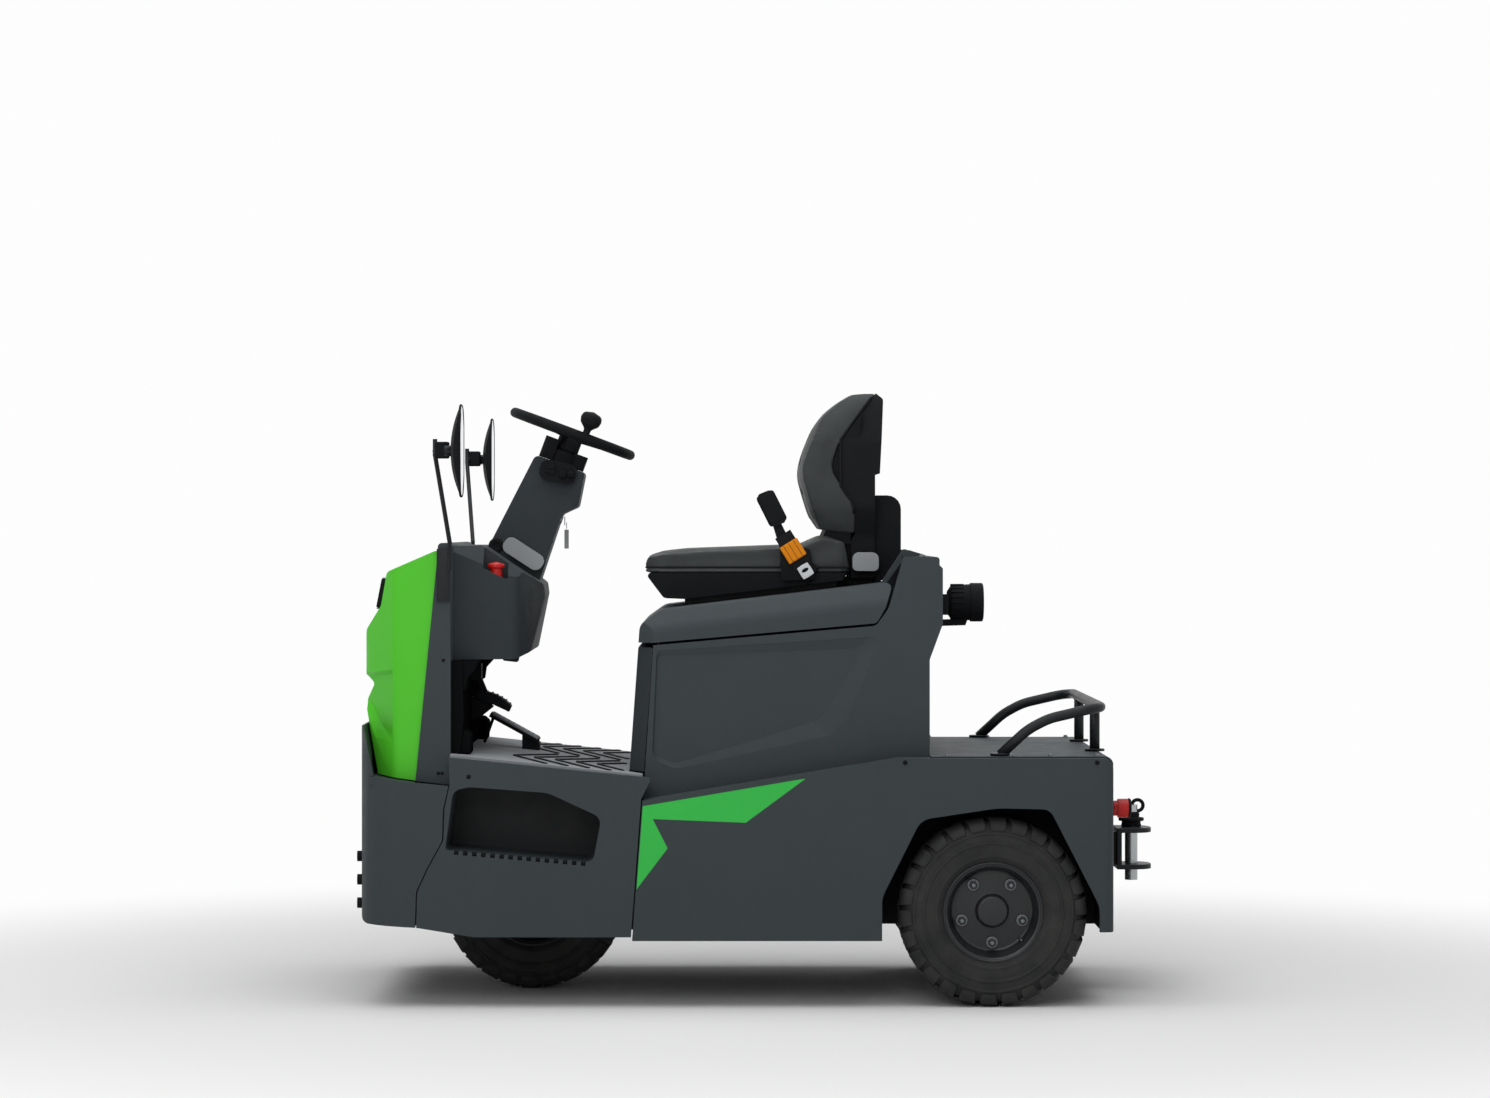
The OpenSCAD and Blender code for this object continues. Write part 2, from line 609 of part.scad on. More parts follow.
module rear_panel() {
    color("#44494f") box([x_tail, -deck_y, skirt_z + 21], [x_tail + panel_t, deck_y, deck_z - deck_t - fit]);
}

module rear_deck() {
    color("#44494f") slab([[x_tower - fit, deck_z, 0], [x_tail, deck_z, 20], [x_tail, deck_z - deck_t, 0],
                           [x_tower - fit, deck_z - deck_t, 0]], -deck_y, deck_y);
}

// Battery box

box_tilt = atan2(24, 336);
chamfer = [37, 40];
function box_front(z) = x_box - (z - floor_z(x_box)) * tan(box_tilt);
function tower_rows(front) = concat(front, [
    [x_tower - 24, tower_top_z, 8], [x_tower - 24, tower_top_z - 20, 0], [x_tower - 32, tower_top_z - 28, 0],
    [x_tower - 32, tower_top_z - 163, 14], [x_tower, tower_top_z - 250, 14]
]);
module battery_side() {
    corner_x = x_tower + 131;
    field_t = 8;
    front_x = box_front(seam_front_z) - chamfer[0];
    foot_x = box_front(ledge_z(x_seam)) - chamfer[0];
    rows = concat(
        [[foot_x, ledge_z(foot_x) - 30, 0], [front_x, seam_z(front_x), 0]],
        tower_rows([[corner_x, seam_z(corner_x), 16], [x_tower + 100, seam_z(x_tower + 100) + 39, 50], [x_tower + 63, tower_top_z, 4]]),
        [[x_tower, ledge_rear_z - 30, 0], [x_knee, ledge_rear_z - 30, 0]]);
    field = [
        [front_x - 8, seam_z(front_x) - 14, 12], [x_tower + 116, seam_z(corner_x) - 26, 16],
        [x_tower + 199, 699, 40], [x_tower + 240, 657, 40], [x_seam - 80, 575, 40], [x_seam - 22, 600, 30]
    ];
    difference() {
        slab(rows, side_y, box_y);
        slab(field, box_y - field_t, box_y + cut);
    }
}
module battery_side_left() { color("#44494f") battery_side(); }
module battery_side_right() { color("#44494f") mirror([0, 1, 0]) battery_side(); }

module battery_front() {
    wall = 25;
    height = (seam_z(box_front(seam_front_z)) - floor_z(x_box)) / cos(box_tilt);
    color("#3d4247") translate([x_box, 0, floor_z(x_box) + fit]) rotate([0, -box_tilt, 0])
        plate(mirrored([[0, box_y - chamfer[1], 14], [-chamfer[0] + fit, box_y, 0], [-chamfer[0] + fit, side_y, 0],
                        [-wall, box_y - chamfer[1] - 12, 0]]), 0, height - fit);
}

hinge_x = x_tower + 56;
hinge_z = tower_top_z + 8;
hinge_y = side_y - 100;
hinge_w = 40;
hinge_pin_r = 5;
module tower() {
    front_x = x_tower + 40;
    rows = concat([[x_tower, deck_z + fit, 0], [x_tower + 108, deck_z + fit, 0], [x_tower + 108, tower_top_z - 191, 0],
                   [front_x, tower_top_z - 161, 0]], tower_rows([[front_x, tower_top_z, 6]]));
    lug = [[hinge_x - 50, tower_top_z - 2, 0], [hinge_x - 17, tower_top_z - 2, 0], [hinge_x + 7, hinge_z - 7, 4],
           [hinge_x + 7, hinge_z + 7, 4], [hinge_x - 10, hinge_z + 8, 4], [hinge_x - 50, tower_top_z + 4, 0]];
    color("#44494f") difference() {
        union() {
            slab(rows, -side_y + fit, side_y - fit);
            both_sides() {
                for (y = [hinge_y - hinge_w / 2 - 9, hinge_y + hinge_w / 2 + 1]) slab(lug, y, y + 8);
                ybar(hinge_x, hinge_z, hinge_pin_r, hinge_y - hinge_w / 2 - 4, hinge_y + hinge_w / 2 + 4);
            }
        }
        for (s = [-1, 1]) translate([x_tower + 16, s * (side_y - tower_hole_inset), tower_top_z - 30])
            cylinder(d = tower_hole_d, h = 30 + cut);
    }
}

// Rack, jaw and lamps at the rear

module luggage_rack() {
    r = rack_tube_d / 2;
    rail = hw - 55;
    x_bar = x_tail + 24;
    x_foot = x_tail + 272;
    foot_t = 6;
    upright_y = 230;
    low = deck_z + fit;
    top = deck_z + 117;
    bend = 32;
    feet = [[x_foot, rail], [x_bar, upright_y]];
    side = [[x_foot, rail, low], [x_foot - 66, rail, deck_z + 63], [x_foot - 117, rail, deck_z + 90],
            [x_bar + bend, rail, top - 4], [x_bar, rail - bend, top]];
    color("#17181a") difference() {
        union() {
            bar(concat(side, [for (i = [len(side) - 1:-1:0]) [side[i][0], -side[i][1], side[i][2]]]), r);
            both_sides() {
                translate([x_bar, upright_y, low]) cylinder(r = r, h = top - low);
                for (f = feet) translate([f[0], f[1], low]) cylinder(r = r + 12, h = foot_t);
            }
        }
        box([x_tail, -hw, low - 2 * r], [x_tower, hw, low]);
    }
}

jaw_pin_x = x_tail - 89;
jaw_low = jaw_z - jaw_gap / 2 - jaw_plate_t;
jaw_top = jaw_z + jaw_gap / 2 + jaw_plate_t;
module tow_jaw() {
    jaw_w = 120;
    web = [x_tail - 60, x_tail - 48];
    tip = -overall_l / 2;
    color("#1b1c1e") difference() {
        union() {
            for (z = [jaw_low, jaw_top - jaw_plate_t])
                plate([[web[1], -jaw_w / 2, 0], [tip, -jaw_w / 2, 48], [tip, jaw_w / 2, 48], [web[1], jaw_w / 2, 0]],
                      z, z + jaw_plate_t);
            box([web[0], -jaw_w / 2, jaw_low], [web[1], jaw_w / 2, jaw_top]);
            box([web[1] - cut, -35, jaw_low + 10], [x_tail - fit, 35, jaw_top - 10]);
            box([x_tail - 14, -80, jaw_low - 20], [x_tail - fit, 80, jaw_top + 20]);
        }
        translate([jaw_pin_x, 0, jaw_low - cut]) cylinder(r = pin_d / 2 + fit, h = jaw_top - jaw_low + 2 * cut);
    }
}

module tow_pin() {
    r = pin_d / 2;
    color("#b9bcc0") union() {
        translate([jaw_pin_x, 0, jaw_low - 30]) cylinder(r = r, h = jaw_top - jaw_low + 86);
        translate([jaw_pin_x, 0, jaw_top + fit]) rotate_extrude() polygon(outline([
            [0, 0, 0], [r + 7, 0, 0], [r + 7, 14, 0], [r + 15, 16, 2], [r + 15, 22, 2], [r + 3, 24, 2], [r + 3, 36, 4],
            [0, 36, 0]]));
        translate([jaw_pin_x - r, 0, jaw_top + 54]) rotate([90, 0, 0]) rotate_extrude() translate([r - 2, 0]) circle(r = 4);
    }
}

module push_button() {
    y = hw - 95;
    z = deck_z - 130;
    color("#c4161c") union() {
        xbar(y, z, 18.5, x_tail - 18, x_tail - fit);
        xbar(y, z, 23, x_tail - 44, x_tail - 17);
    }
}

module tail_lamps() {
    color("#a01414") both_sides()
        box([x_tower - 44, side_y - 70, tower_top_z - 140], [x_tower - 32 - fit, side_y - 16, tower_top_z - 94]);
}

module work_light() {
    z = tower_top_z - 118;
    r = 46;
    color("#1b1c1e") union() {
        translate([x_tower - 64, 0, z]) rotate([0, -90, 0]) rotate_extrude() polygon(outline([
            [0, 0, 0], [r - 18, 0, 4], [r - 3, 10, 6], [r, 58, 0], [r + 3, 59, 0], [r + 3, 90, 4], [r - 3, 92, 0],
            [r - 6, 84, 0], [0, 80, 0]]));
        slab([[x_tower - 32 - fit, z - 36, 0], [x_tower - 32 - fit, z - 60, 0], [x_tower - 40, z - 60, 0],
              [x_tower - 110, z - 58, 0], [x_tower - 116, z - 42, 0], [x_tower - 40, z - 44, 0],
              [x_tower - 40, z - 36, 0]], -20, 20);
    }
}

// Mirrors on the cowl's sides

mirror_mid = [x_cowl - 26, cowl_y + 200, cowl_top_z + 220];
module mirror_arms() {
    r = 5.5;
    foot = [x_cowl + 3, cowl_y + 7, cowl_top_z - 65];
    neck = [x_cowl + 26, cowl_y + 160, cowl_top_z + 211];
    color("#17181a") both_sides() union() {
        bar([foot, [x_cowl + 1, cowl_y + 7, cowl_top_z], neck, neck + [0, 0, 38]], r);
        box([x_cowl + 2, cowl_y + fit, cowl_top_z - 143], [x_cowl + 33, cowl_y + 6, cowl_top_z - 14]);
        bar([neck + [0, 0, 9], [mirror_mid[0] + 20, cowl_y + 193, neck[2] + 9]], 8);
        xbar(mirror_mid[1] - 6, mirror_mid[2], 13, mirror_mid[0] + 12 + fit, mirror_mid[0] + 27);
    }
}
module mirror_heads() {
    height = 220;
    width = 150;
    dome_r = 260;
    depth = 26;
    outline_r = 62;
    color("#17181a") both_sides() translate(mirror_mid) intersection() {
        translate([depth - dome_r - 14, 0, 0]) sphere(r = dome_r, $fn = 128);
        frontal([[-width / 2, -height / 2, outline_r], [width / 2, -height / 2, outline_r],
                 [width / 2, height / 2, outline_r], [-width / 2, height / 2, outline_r]], -14, depth);
    }
}

module bumper_studs() {
    color("#17181a") both_sides()
        for (z = [246, 303, 360]) xbar(hw - apron_corner - 16, z, stud_d / 2, x_nose + fit / 3, x_nose + stud_h);
}

// Hood and seat

hood_rear = x_tower + 88;
module seat_hood() {
    low_z = seam_front_z + hood_gap;
    wall = 20;
    rows = [
        [box_front(low_z), low_z, 0], [box_front(hood_front_z - 38), hood_front_z - 38, 26], [nose_x, hood_front_z, 40],
        [hood_rear, hood_z(hood_rear), 12], [x_tower + 107, seam_z(x_tower + 107) + 42.5, 40],
        [x_tower + 129, seam_z(x_tower + 129) + hood_gap, 16], [seam_x, seam_z(seam_x) + hood_gap, 0]
    ];
    inner = [
        [box_front(low_z) - wall, low_z - 40, 0], [box_front(low_z) - wall, hood_front_z - 42, 20],
        [nose_x - 8, hood_front_z - wall, 20], [x_tower + 140, hood_z(x_tower + 140) - wall, 20],
        [x_tower + 160, low_z - 40, 0]
    ];
    section = [
        [box_y, -250, 0], [box_y, -44, 40], [box_y - 40, 0.5, 20], [-box_y + 40, 0.5, 20], [-box_y, -44, 40],
        [-box_y, -250, 0]
    ];
    plan = mirrored([[x_box + 1, box_y - chamfer[1] + 2, 14], [box_front(low_z) - chamfer[0], box_y, 10],
                     [x_tower, box_y, 0]]);
    strap = [
        [hood_rear + 28, hood_z(hood_rear + 28) - 3, 0], [hinge_x + 9.5, hinge_z + 2, 0], [hinge_x, hinge_z - 9.5, 0],
        [hood_rear + 14, hood_z(hood_rear + 14) - 3, 0]
    ];
    color("#44494f") difference() {
        union() {
            difference() {
                intersection() {
                    slab(rows, -box_y, box_y);
                    translate([nose_x, 0, hood_front_z]) rotate([0, hood_slope, 0]) frontal(section, x_tower - nose_x - 50, 200);
                    plate(plan, 800, tower_top_z);
                }
                slab(inner, -side_y, side_y);
            }
            both_sides() {
                slab(strap, hinge_y - hinge_w / 2, hinge_y + hinge_w / 2);
                ybar(hinge_x, hinge_z, 10, hinge_y - hinge_w / 2, hinge_y + hinge_w / 2);
            }
        }
        both_sides() ybar(hinge_x, hinge_z, hinge_pin_r + fit, hinge_y - hinge_w, hinge_y + hinge_w);
    }
}

seat_x = nose_x + 54;
x_back = x_tower + 188;
seat_rise = 33;
seat_z = hood_z(x_back) + seat_rise;
seat_w = 490;
// Rows measured from the cushion's rear end
function back_rows(rows) = moved(rows, [x_back, seat_z]);
slide_h = 16;
module seat_base() {
    x0 = x_back + (seat_x - x_back) * 0.06;
    x1 = seat_x - (seat_x - x_back) * 0.21;
    color("#1b1c1e") both_sides() slab([[x1, hood_z(x1) + fit, 0], [x0, hood_z(x0) + fit, 0],
        [x0, hood_z(x0) + slide_h - fit, 0], [x1, hood_z(x1) + slide_h - fit, 0]], seat_w / 2 - 95, seat_w / 2 - 60);
}

module seat_pan() {
    x0 = x_back + 20;
    x1 = seat_x - 58;
    color("#1b1c1e") intersection() {
        slab([[seat_x - 10, seat_z - fit, 8], [x1, hood_z(x1) + slide_h + 8, 14], [x1 - 50, hood_z(x1 - 50) + slide_h, 0],
              [x0, hood_z(x0) + slide_h, 0], [x0 - 15, seat_z - fit, 0]], -seat_w / 2, seat_w / 2);
        plate(mirrored([[seat_x - 4, seat_w / 2, 50], [x0 - 15, seat_w / 2, 20]]), 900, seat_z + 50);
    }
}

module seat_cushion() {
    half = seat_w / 2 - 2;
    crown_x = seat_x - (seat_x - x_back) * 0.23;
    color("#2a2c2f") intersection() {
        slab(concat(
            [[seat_x, seat_z + 15, 12], [seat_x - 8, seat_z + 45, 16], [crown_x, seat_z + 53, 80]],
            back_rows([[120, 63, 60], [65, 89, 20], [15, 78, 14], [0, 0, 0]]), [[seat_x - 16, seat_z, 10]]), -half, half);
        plate(mirrored([[seat_x, half, 60], [x_back, half, 30]]), seat_z, seat_z + 120);
    }
}

// Backrest: side outline and front outline, which narrows to the top
backrest_front = [[seat_w / 2 - 40, -20, 0], [seat_w / 2 - 40, 90, 40], [seat_w / 2 - 5, 160, 60],
                  [seat_w / 2 - 15, 330, 60], [seat_w / 2 - 75, 460, 70]];
// Seam between the padding and the shell, from the top down
backrest_seam = [[-66, 447, 0], [-36, 407, 10], [30, 318, 60], [50, 256, 50], [-12, 168, 30], [-12, 96, 0]];
function front_rows(rows, dy) = let (half = [for (r = rows) [r[0] + dy, r[1] + seat_z, r[2]]])
    concat(half, [for (i = [len(half) - 1:-1:0]) [-half[i][0], half[i][1], half[i][2]]]);
module seat_backrest() {
    color("#2a2c2f") intersection() {
        slab(back_rows(concat([[126, 255, 80], [70, 394, 60], [-2, 451, 25]], backrest_seam, [[78, 97, 12]])),
             -seat_w / 2, seat_w / 2);
        frontal(front_rows(backrest_front, 0), x_back - 80, x_back + 220);
    }
}

module backrest_shell() {
    seam = moved([for (i = [len(backrest_seam) - 1:-1:0]) backrest_seam[i]], [-fit, 0]);
    rows = concat(seam, [[-84, 432, 10], [-74, 246, 0], [-62, 242, 0], [-62, -14, 6], [-2 - fit, -14, 0], [-2 - fit, 78, 0]]);
    color("#1b1c1e") intersection() {
        slab(back_rows(rows), -seat_w / 2, seat_w / 2);
        frontal(front_rows(backrest_front, -6), x_back - 130, x_back + 20);
    }
}

module seat_rear_box() {
    x0 = x_back - 128;
    x1 = x_back - 62 - fit;
    top = seat_z + 192;
    low = hood_z(hood_rear);
    half = seat_w / 2 - 65;
    color("#17181a") slab([[x1, hood_z(x1) + fit, 0], [x1, top, 4], [x0, top, 34], [x0, low + fit + 4, 0],
                           [hood_rear + 10, low + fit + 4, 0]], -half, half);
}

module seat_adjuster() {
    color("#8c9094") slab(back_rows([[-6, 4, 12], [-6, 50, 16], [-71, 50, 16], [-71, 4, 12]]), seat_w / 2 - 46 + fit, seat_w / 2 - 11);
}

// Buckle on its stalk, with the latch bracket on the pan's side
module seat_belt() {
    y0 = seat_w / 2 + fit;
    color("#1b1c1e") union() {
        slab(back_rows([[170, -20, 8], [175, 56, 12], [100, 62, 12], [88, -16, 8]]), y0, y0 + 14);
        slab(back_rows([[168, 36, 0], [134, 46, 0], [176, 132, 0], [194, 124, 0]]), y0 + 2, y0 + 12);
        slab(back_rows([[192, 112, 8], [158, 126, 8], [198, 206, 8], [232, 192, 8]]), y0 - 4, y0 + 20);
    }
}

// Fork and wheels

module steer_fork() {
    leg_y = tyre_w / 2 + 14;
    leg_t = 18;
    color("#26282b") union() {
        translate([x_f, 0, fork_top_z]) cylinder(d = spindle_d, h = 54);
        box([x_f - 65, -leg_y - leg_t, fork_top_z - 20], [x_f + 65, leg_y + leg_t, fork_top_z]);
        both_sides() slab([[x_f - 60, fork_top_z - cut, 0], [x_f + 60, fork_top_z - cut, 0], [x_f + 36, axle_z - 40, 34],
                           [x_f - 36, axle_z - 40, 34]], leg_y, leg_y + leg_t);
        ybar(x_f, axle_z, axle_pin_d / 2, -leg_y - leg_t - 10, leg_y + leg_t + 10);
    }
}

// Shapes that turn about Y, placed at a wheel's centre
module at_axle(x, y) { translate([x, y, axle_z]) rotate([-90, 0, 0]) children(); }

lug_count = 26;
// Stations of a pitch: the groove's two edges at its floor, then the lug's two edges
lug_steps = [[0, false], [0.2, false], [0.28, true], [0.92, true]];
module tyre() {
    r = tyre_d / 2;
    w = tyre_w / 2;
    pitch = 360 / lug_count;
    bead = rim_d / 2 / cos(pitch * 0.32);
    // Half a section from bead to crown: [radius, across, turn], the turn in half pitches
    function half(up) = [
        [bead, w - 14, 0], [r - 50, w - 1.5, 0.25], up ? [r - 24, w, 0.5] : [r - 32, w - 9, 0.5],
        up ? [r - 2, w - 15, 0.5] : [r - 17, w - 26, 0.5]];
    function section(up) = concat(
        [for (p = half(up)) [p[0], -p[1], -p[2]]], [[r, 0, 0]], [for (i = [3:-1:0]) half(up)[i]]);
    rings = [for (i = [0:lug_count - 1], s = lug_steps)
        [for (p = section(s[1])) let (a = 90 + (i + s[0] - lug_steps[2][0] + p[2] / 2) * pitch) [p[0] * cos(a), p[0] * sin(a), p[1]]]];
    m = len(rings[0]);
    n = len(rings);
    polyhedron(
        points = [for (ring = rings) each ring],
        faces = [for (i = [0:n - 1], j = [0:m - 1])
            let (a = i * m + j, b = i * m + (j + 1) % m, c = (i + 1) % n * m + (j + 1) % m, d = (i + 1) % n * m + j)
            each [[a, b, c], [a, c, d]]]);
}

// Rim with dished disc, hub and nuts, outer side towards +Z
module rim(bore_r, through) {
    r = rim_d / 2 - fit;
    w = tyre_w / 2 - 14;
    hub_in = 38;
    difference() {
        union() {
            rotate_extrude($fn = 96) polygon(outline([
                [r, -w, 0], [r, w, 0], [r - 12, w - 4, 0], [r - 24, 18, 8], [40, 22, 4], [37, 44, 6], [0, 46, 0],
                [0, -hub_in, 0], [60, -hub_in, 8], [66, 8, 8], [r - 28, 4, 8], [r - 12, -w + 4, 0]]));
            for (i = [0:nut_count - 1]) rotate([0, 0, 90 + i * 360 / nut_count])
                translate([nut_pcd / 2, 0, 12]) cylinder(r = 11, h = 24, $fn = 6);
        }
        translate([0, 0, -w - cut]) cylinder(r = bore_r, h = through ? 2 * w + 60 : w + 15);
    }
}

rear_y = rear_in_y + tyre_w / 2;
module front_tyre() { color("#1a1b1c") at_axle(x_f, 0) tyre(); }
module front_rim() { color("#232527") at_axle(x_f, 0) rim(axle_pin_d / 2 + fit, true); }
module rear_tyre_left() { color("#1a1b1c") at_axle(x_r, rear_y) tyre(); }
module rear_tyre_right() { color("#1a1b1c") at_axle(x_r, -rear_y) tyre(); }
module rear_rim_left() { color("#232527") at_axle(x_r, rear_y) rim(hub_bore_r, false); }
module rear_rim_right() { color("#232527") mirror([0, 1, 0]) at_axle(x_r, rear_y) rim(hub_bore_r, false); }

frame_rails();
steering_head();
battery_tray();
battery_pack();
rear_axle();
front_apron();
front_cover();
front_cowl();
footwell_bulkhead();
dash_pod();
column_cover();
switch_pod();
tilt_lever();
stop_switch();
floor_plate();
step_panel_left();
step_panel_right();
fender_panel_left();
fender_panel_right();
arch_liners();
rear_panel();
rear_deck();
battery_side_left();
battery_side_right();
battery_front();
tower();
luggage_rack();
tow_jaw();
push_button();
tail_lamps();
work_light();
headlamps();
mirror_arms();
mirror_heads();
pedals();
bumper_studs();
seat_hood();
seat_base();
seat_pan();
seat_cushion();
seat_backrest();
backrest_shell();
seat_rear_box();
seat_adjuster();
seat_belt();
steering_wheel();
steer_fork();
front_tyre();
front_rim();
rear_tyre_left();
rear_rim_left();
rear_tyre_right();
rear_rim_right();
tow_pin();
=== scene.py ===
"""Electric tow tractor: finish, soft seat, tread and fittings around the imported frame."""
import json
import math

import bmesh
import bpy
from mathutils import Matrix, Vector
from mathutils.bvhtree import BVHTree


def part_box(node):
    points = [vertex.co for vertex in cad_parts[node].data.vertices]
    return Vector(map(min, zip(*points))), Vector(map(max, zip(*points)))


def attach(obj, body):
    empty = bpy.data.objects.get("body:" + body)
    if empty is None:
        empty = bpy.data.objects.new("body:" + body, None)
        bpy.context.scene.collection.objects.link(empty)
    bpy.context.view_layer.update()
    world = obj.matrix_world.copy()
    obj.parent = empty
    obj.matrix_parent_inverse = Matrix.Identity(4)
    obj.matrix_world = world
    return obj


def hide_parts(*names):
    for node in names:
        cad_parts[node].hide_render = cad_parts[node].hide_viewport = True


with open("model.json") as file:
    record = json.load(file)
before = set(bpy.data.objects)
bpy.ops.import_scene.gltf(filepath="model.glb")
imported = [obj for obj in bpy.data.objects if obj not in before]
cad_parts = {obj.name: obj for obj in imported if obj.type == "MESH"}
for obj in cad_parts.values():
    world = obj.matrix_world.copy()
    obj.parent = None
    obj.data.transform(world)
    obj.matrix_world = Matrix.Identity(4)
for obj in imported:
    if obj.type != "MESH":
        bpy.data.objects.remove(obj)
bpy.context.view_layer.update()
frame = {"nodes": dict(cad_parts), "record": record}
NODES = frame["nodes"]
RECORD = frame["record"]

MM = 0.001
AHEAD = Vector((1, 0, 0))
LEFT = Vector((0, 1, 0))
UP = Vector((0, 0, 1))


# Colours and materials

MATERIALS = {}
GRAIN = 0.6 * MM
# Places of the two colours and of the result among a mix node's sockets
MIX_DARK, MIX_LIGHT, MIX_RESULT = 6, 7, 2


def colour(text, k=1.0):
    """Linear colour of a hex code, made lighter or darker by a factor."""
    def linear(c):
        return c / 12.92 if c <= 0.04045 else ((c + 0.055) / 1.055) ** 2.4
    channels = [linear(int(text[i:i + 2], 16) / 255) for i in (1, 3, 5)]
    return tuple(min(1.0, c * k) for c in channels) + (1.0,)


class Nodes:
    """New material, with methods that add what feeds its shader."""

    def __init__(self, name):
        self.material = bpy.data.materials.new(name)
        self.material.use_nodes = True
        MATERIALS[name] = self.material
        self.tree = self.material.node_tree
        self.shader = self.tree.nodes["Principled BSDF"]
        self.place = self.add("ShaderNodeTexCoord").outputs["Object"]

    def set(self, node, values):
        """Sockets and settings of a node; a socket's name has underscores for its spaces."""
        for key, value in values.items():
            socket = key.replace("_", " ")
            if socket in node.inputs:
                node.inputs[socket].default_value = value
            else:
                setattr(node, key, value)

    def add(self, kind, **values):
        """New node with its values."""
        node = self.tree.nodes.new(kind)
        self.set(node, values)
        return node

    def surface(self, **values):
        """Constants on the shader's sockets."""
        self.set(self.shader, values)

    def link(self, out, into):
        """Link from an output to an input."""
        self.tree.links.new(out, into)

    def noise(self, scale, detail=4.0):
        """Noise that is fixed to the object."""
        node = self.add("ShaderNodeTexNoise", Scale=scale, Detail=detail, Roughness=0.55)
        self.link(self.place, node.inputs["Vector"])
        return node.outputs["Fac"]

    def spread(self, fac, low, high):
        """Middle part of a noise stretched over a range."""
        node = self.add("ShaderNodeMapRange", From_Min=0.3, From_Max=0.7, To_Min=low, To_Max=high)
        self.link(fac, node.inputs["Value"])
        return node.outputs["Result"]

    def tone(self, fac, dark, light):
        """Base colour that drifts between two colours."""
        node = self.add("ShaderNodeMix", data_type="RGBA")
        self.link(self.spread(fac, 0.0, 1.0), node.inputs["Factor"])
        node.inputs[MIX_DARK].default_value = dark
        node.inputs[MIX_LIGHT].default_value = light
        self.link(node.outputs[MIX_RESULT], self.shader.inputs["Base Color"])

    def roughness(self, fac, low, high):
        """Roughness that drifts between two values."""
        self.link(self.spread(fac, low, high), self.shader.inputs["Roughness"])

    def bump(self, height, strength, distance=GRAIN):
        """Fine relief on the surface."""
        node = self.add("ShaderNodeBump", Strength=strength, Distance=distance)
        self.link(height, node.inputs["Height"])
        self.link(node.outputs["Normal"], self.shader.inputs["Normal"])


def finish(name, text, rough, grain, depth, metallic=0.0, drift=0.1, gloss=0.15):
    """Surface with drifting tone, uneven gloss and a moulded grain."""
    n = Nodes(name)
    n.tone(n.noise(5.0), colour(text, 1 - drift), colour(text, 1 + drift))
    n.roughness(n.noise(24.0), max(0.02, rough - 0.06), rough + 0.06)
    n.surface(Metallic=metallic, Specular_IOR_Level=gloss)
    n.bump(n.noise(grain, 2.0), depth)


def vinyl(name, text):
    """Seat vinyl: pebbled leather grain with a soft sheen."""
    n = Nodes(name)
    cells = n.add("ShaderNodeTexVoronoi", Scale=420.0, feature="SMOOTH_F1")
    n.link(n.place, cells.inputs["Vector"])
    n.tone(n.noise(9.0), colour(text, 0.82), colour(text, 1.2))
    n.roughness(n.noise(40.0), 0.44, 0.58)
    n.surface(Specular_IOR_Level=0.12, Sheen_Weight=0.02)
    n.bump(cells.outputs["Distance"], 0.35)


def tyre_rubber(name):
    """Tyre rubber with patches of dust, a dry bloom and a fine grain."""
    n = Nodes(name)
    n.tone(n.noise(14.0, 6.0), colour("#242526"), colour("#343433"))
    n.roughness(n.noise(30.0), 0.6, 0.78)
    n.surface(Specular_IOR_Level=0.2)
    n.bump(n.noise(260.0, 3.0), 0.3, 0.8 * MM)


def lens(name, text):
    """Clear or coloured lamp lens with fluting."""
    n = Nodes(name)
    wave = n.add("ShaderNodeTexWave", Scale=55.0, bands_direction="Y")
    n.link(n.place, wave.inputs["Vector"])
    n.tone(n.noise(30.0), colour(text, 0.9), colour(text, 1.08))
    n.surface(Roughness=0.08, Coat_Weight=0.6)
    n.bump(wave.outputs["Fac"], 0.25)


def mirror_glass(name):
    """Convex mirror glass with a faint haze."""
    n = Nodes(name)
    n.tone(n.noise(12.0), colour("#c3c9cd"), colour("#d5dadd"))
    n.surface(Metallic=1.0)
    n.roughness(n.noise(40.0), 0.03, 0.07)


finish("body_grey", "#3e4447", 0.55, 1400, 0.05, drift=0.03, gloss=0.1)
finish("cover_green", "#53c72d", 0.45, 1400, 0.02, drift=0.02, gloss=0.2)
finish("stripe_green", "#3cbe4f", 0.5, 1200, 0.03, drift=0.03)
finish("trim_black", "#1a1b1d", 0.62, 1100, 0.14, drift=0.08, gloss=0.05)
# Black with painted shade: a darker copy of the black trim without gloss, for the footwell's bulkhead and
# cheeks
finish("painted_shade_black", "#141516", 0.85, 900, 0.1, drift=0.06, gloss=0.0)
finish("dash_grey", "#363b3e", 0.58, 1200, 0.16, drift=0.05, gloss=0.1)
finish("frame_steel", "#222426", 0.42, 700, 0.08)
# The mat is dark grey rubber; this lighter colour is painted highlight, for the sheen its top catches from
# the overhead light
finish("mat", "#94979b", 0.7, 600, 0.25, drift=0.06, gloss=0.1)
finish("battery", "#33363b", 0.6, 500, 0.1)
vinyl("seat_vinyl", "#383b3c")
lens("lamp_glass", "#c9ced2")
lens("lamp_red", "#a3161a")
finish("button_red", "#b81713", 0.4, 500, 0.05, drift=0.06, gloss=0.3)
finish("lever_grey", "#989b9e", 0.5, 1000, 0.14, drift=0.05)
tyre_rubber("tyre")
finish("rim", "#222426", 0.36, 600, 0.06, drift=0.06, gloss=0.35)
finish("pin_steel", "#a9acae", 0.3, 300, 0.06, metallic=0.9)
finish("bolt_steel", "#6a6d70", 0.36, 400, 0.08, metallic=0.8)
finish("tag_orange", "#e0860c", 0.5, 500, 0.08, drift=0.06)
mirror_glass("mirror_glass")
finish("webbing", "#202123", 0.8, 380, 0.5, drift=0.15, gloss=0.05)


# Finish of the CAD nodes

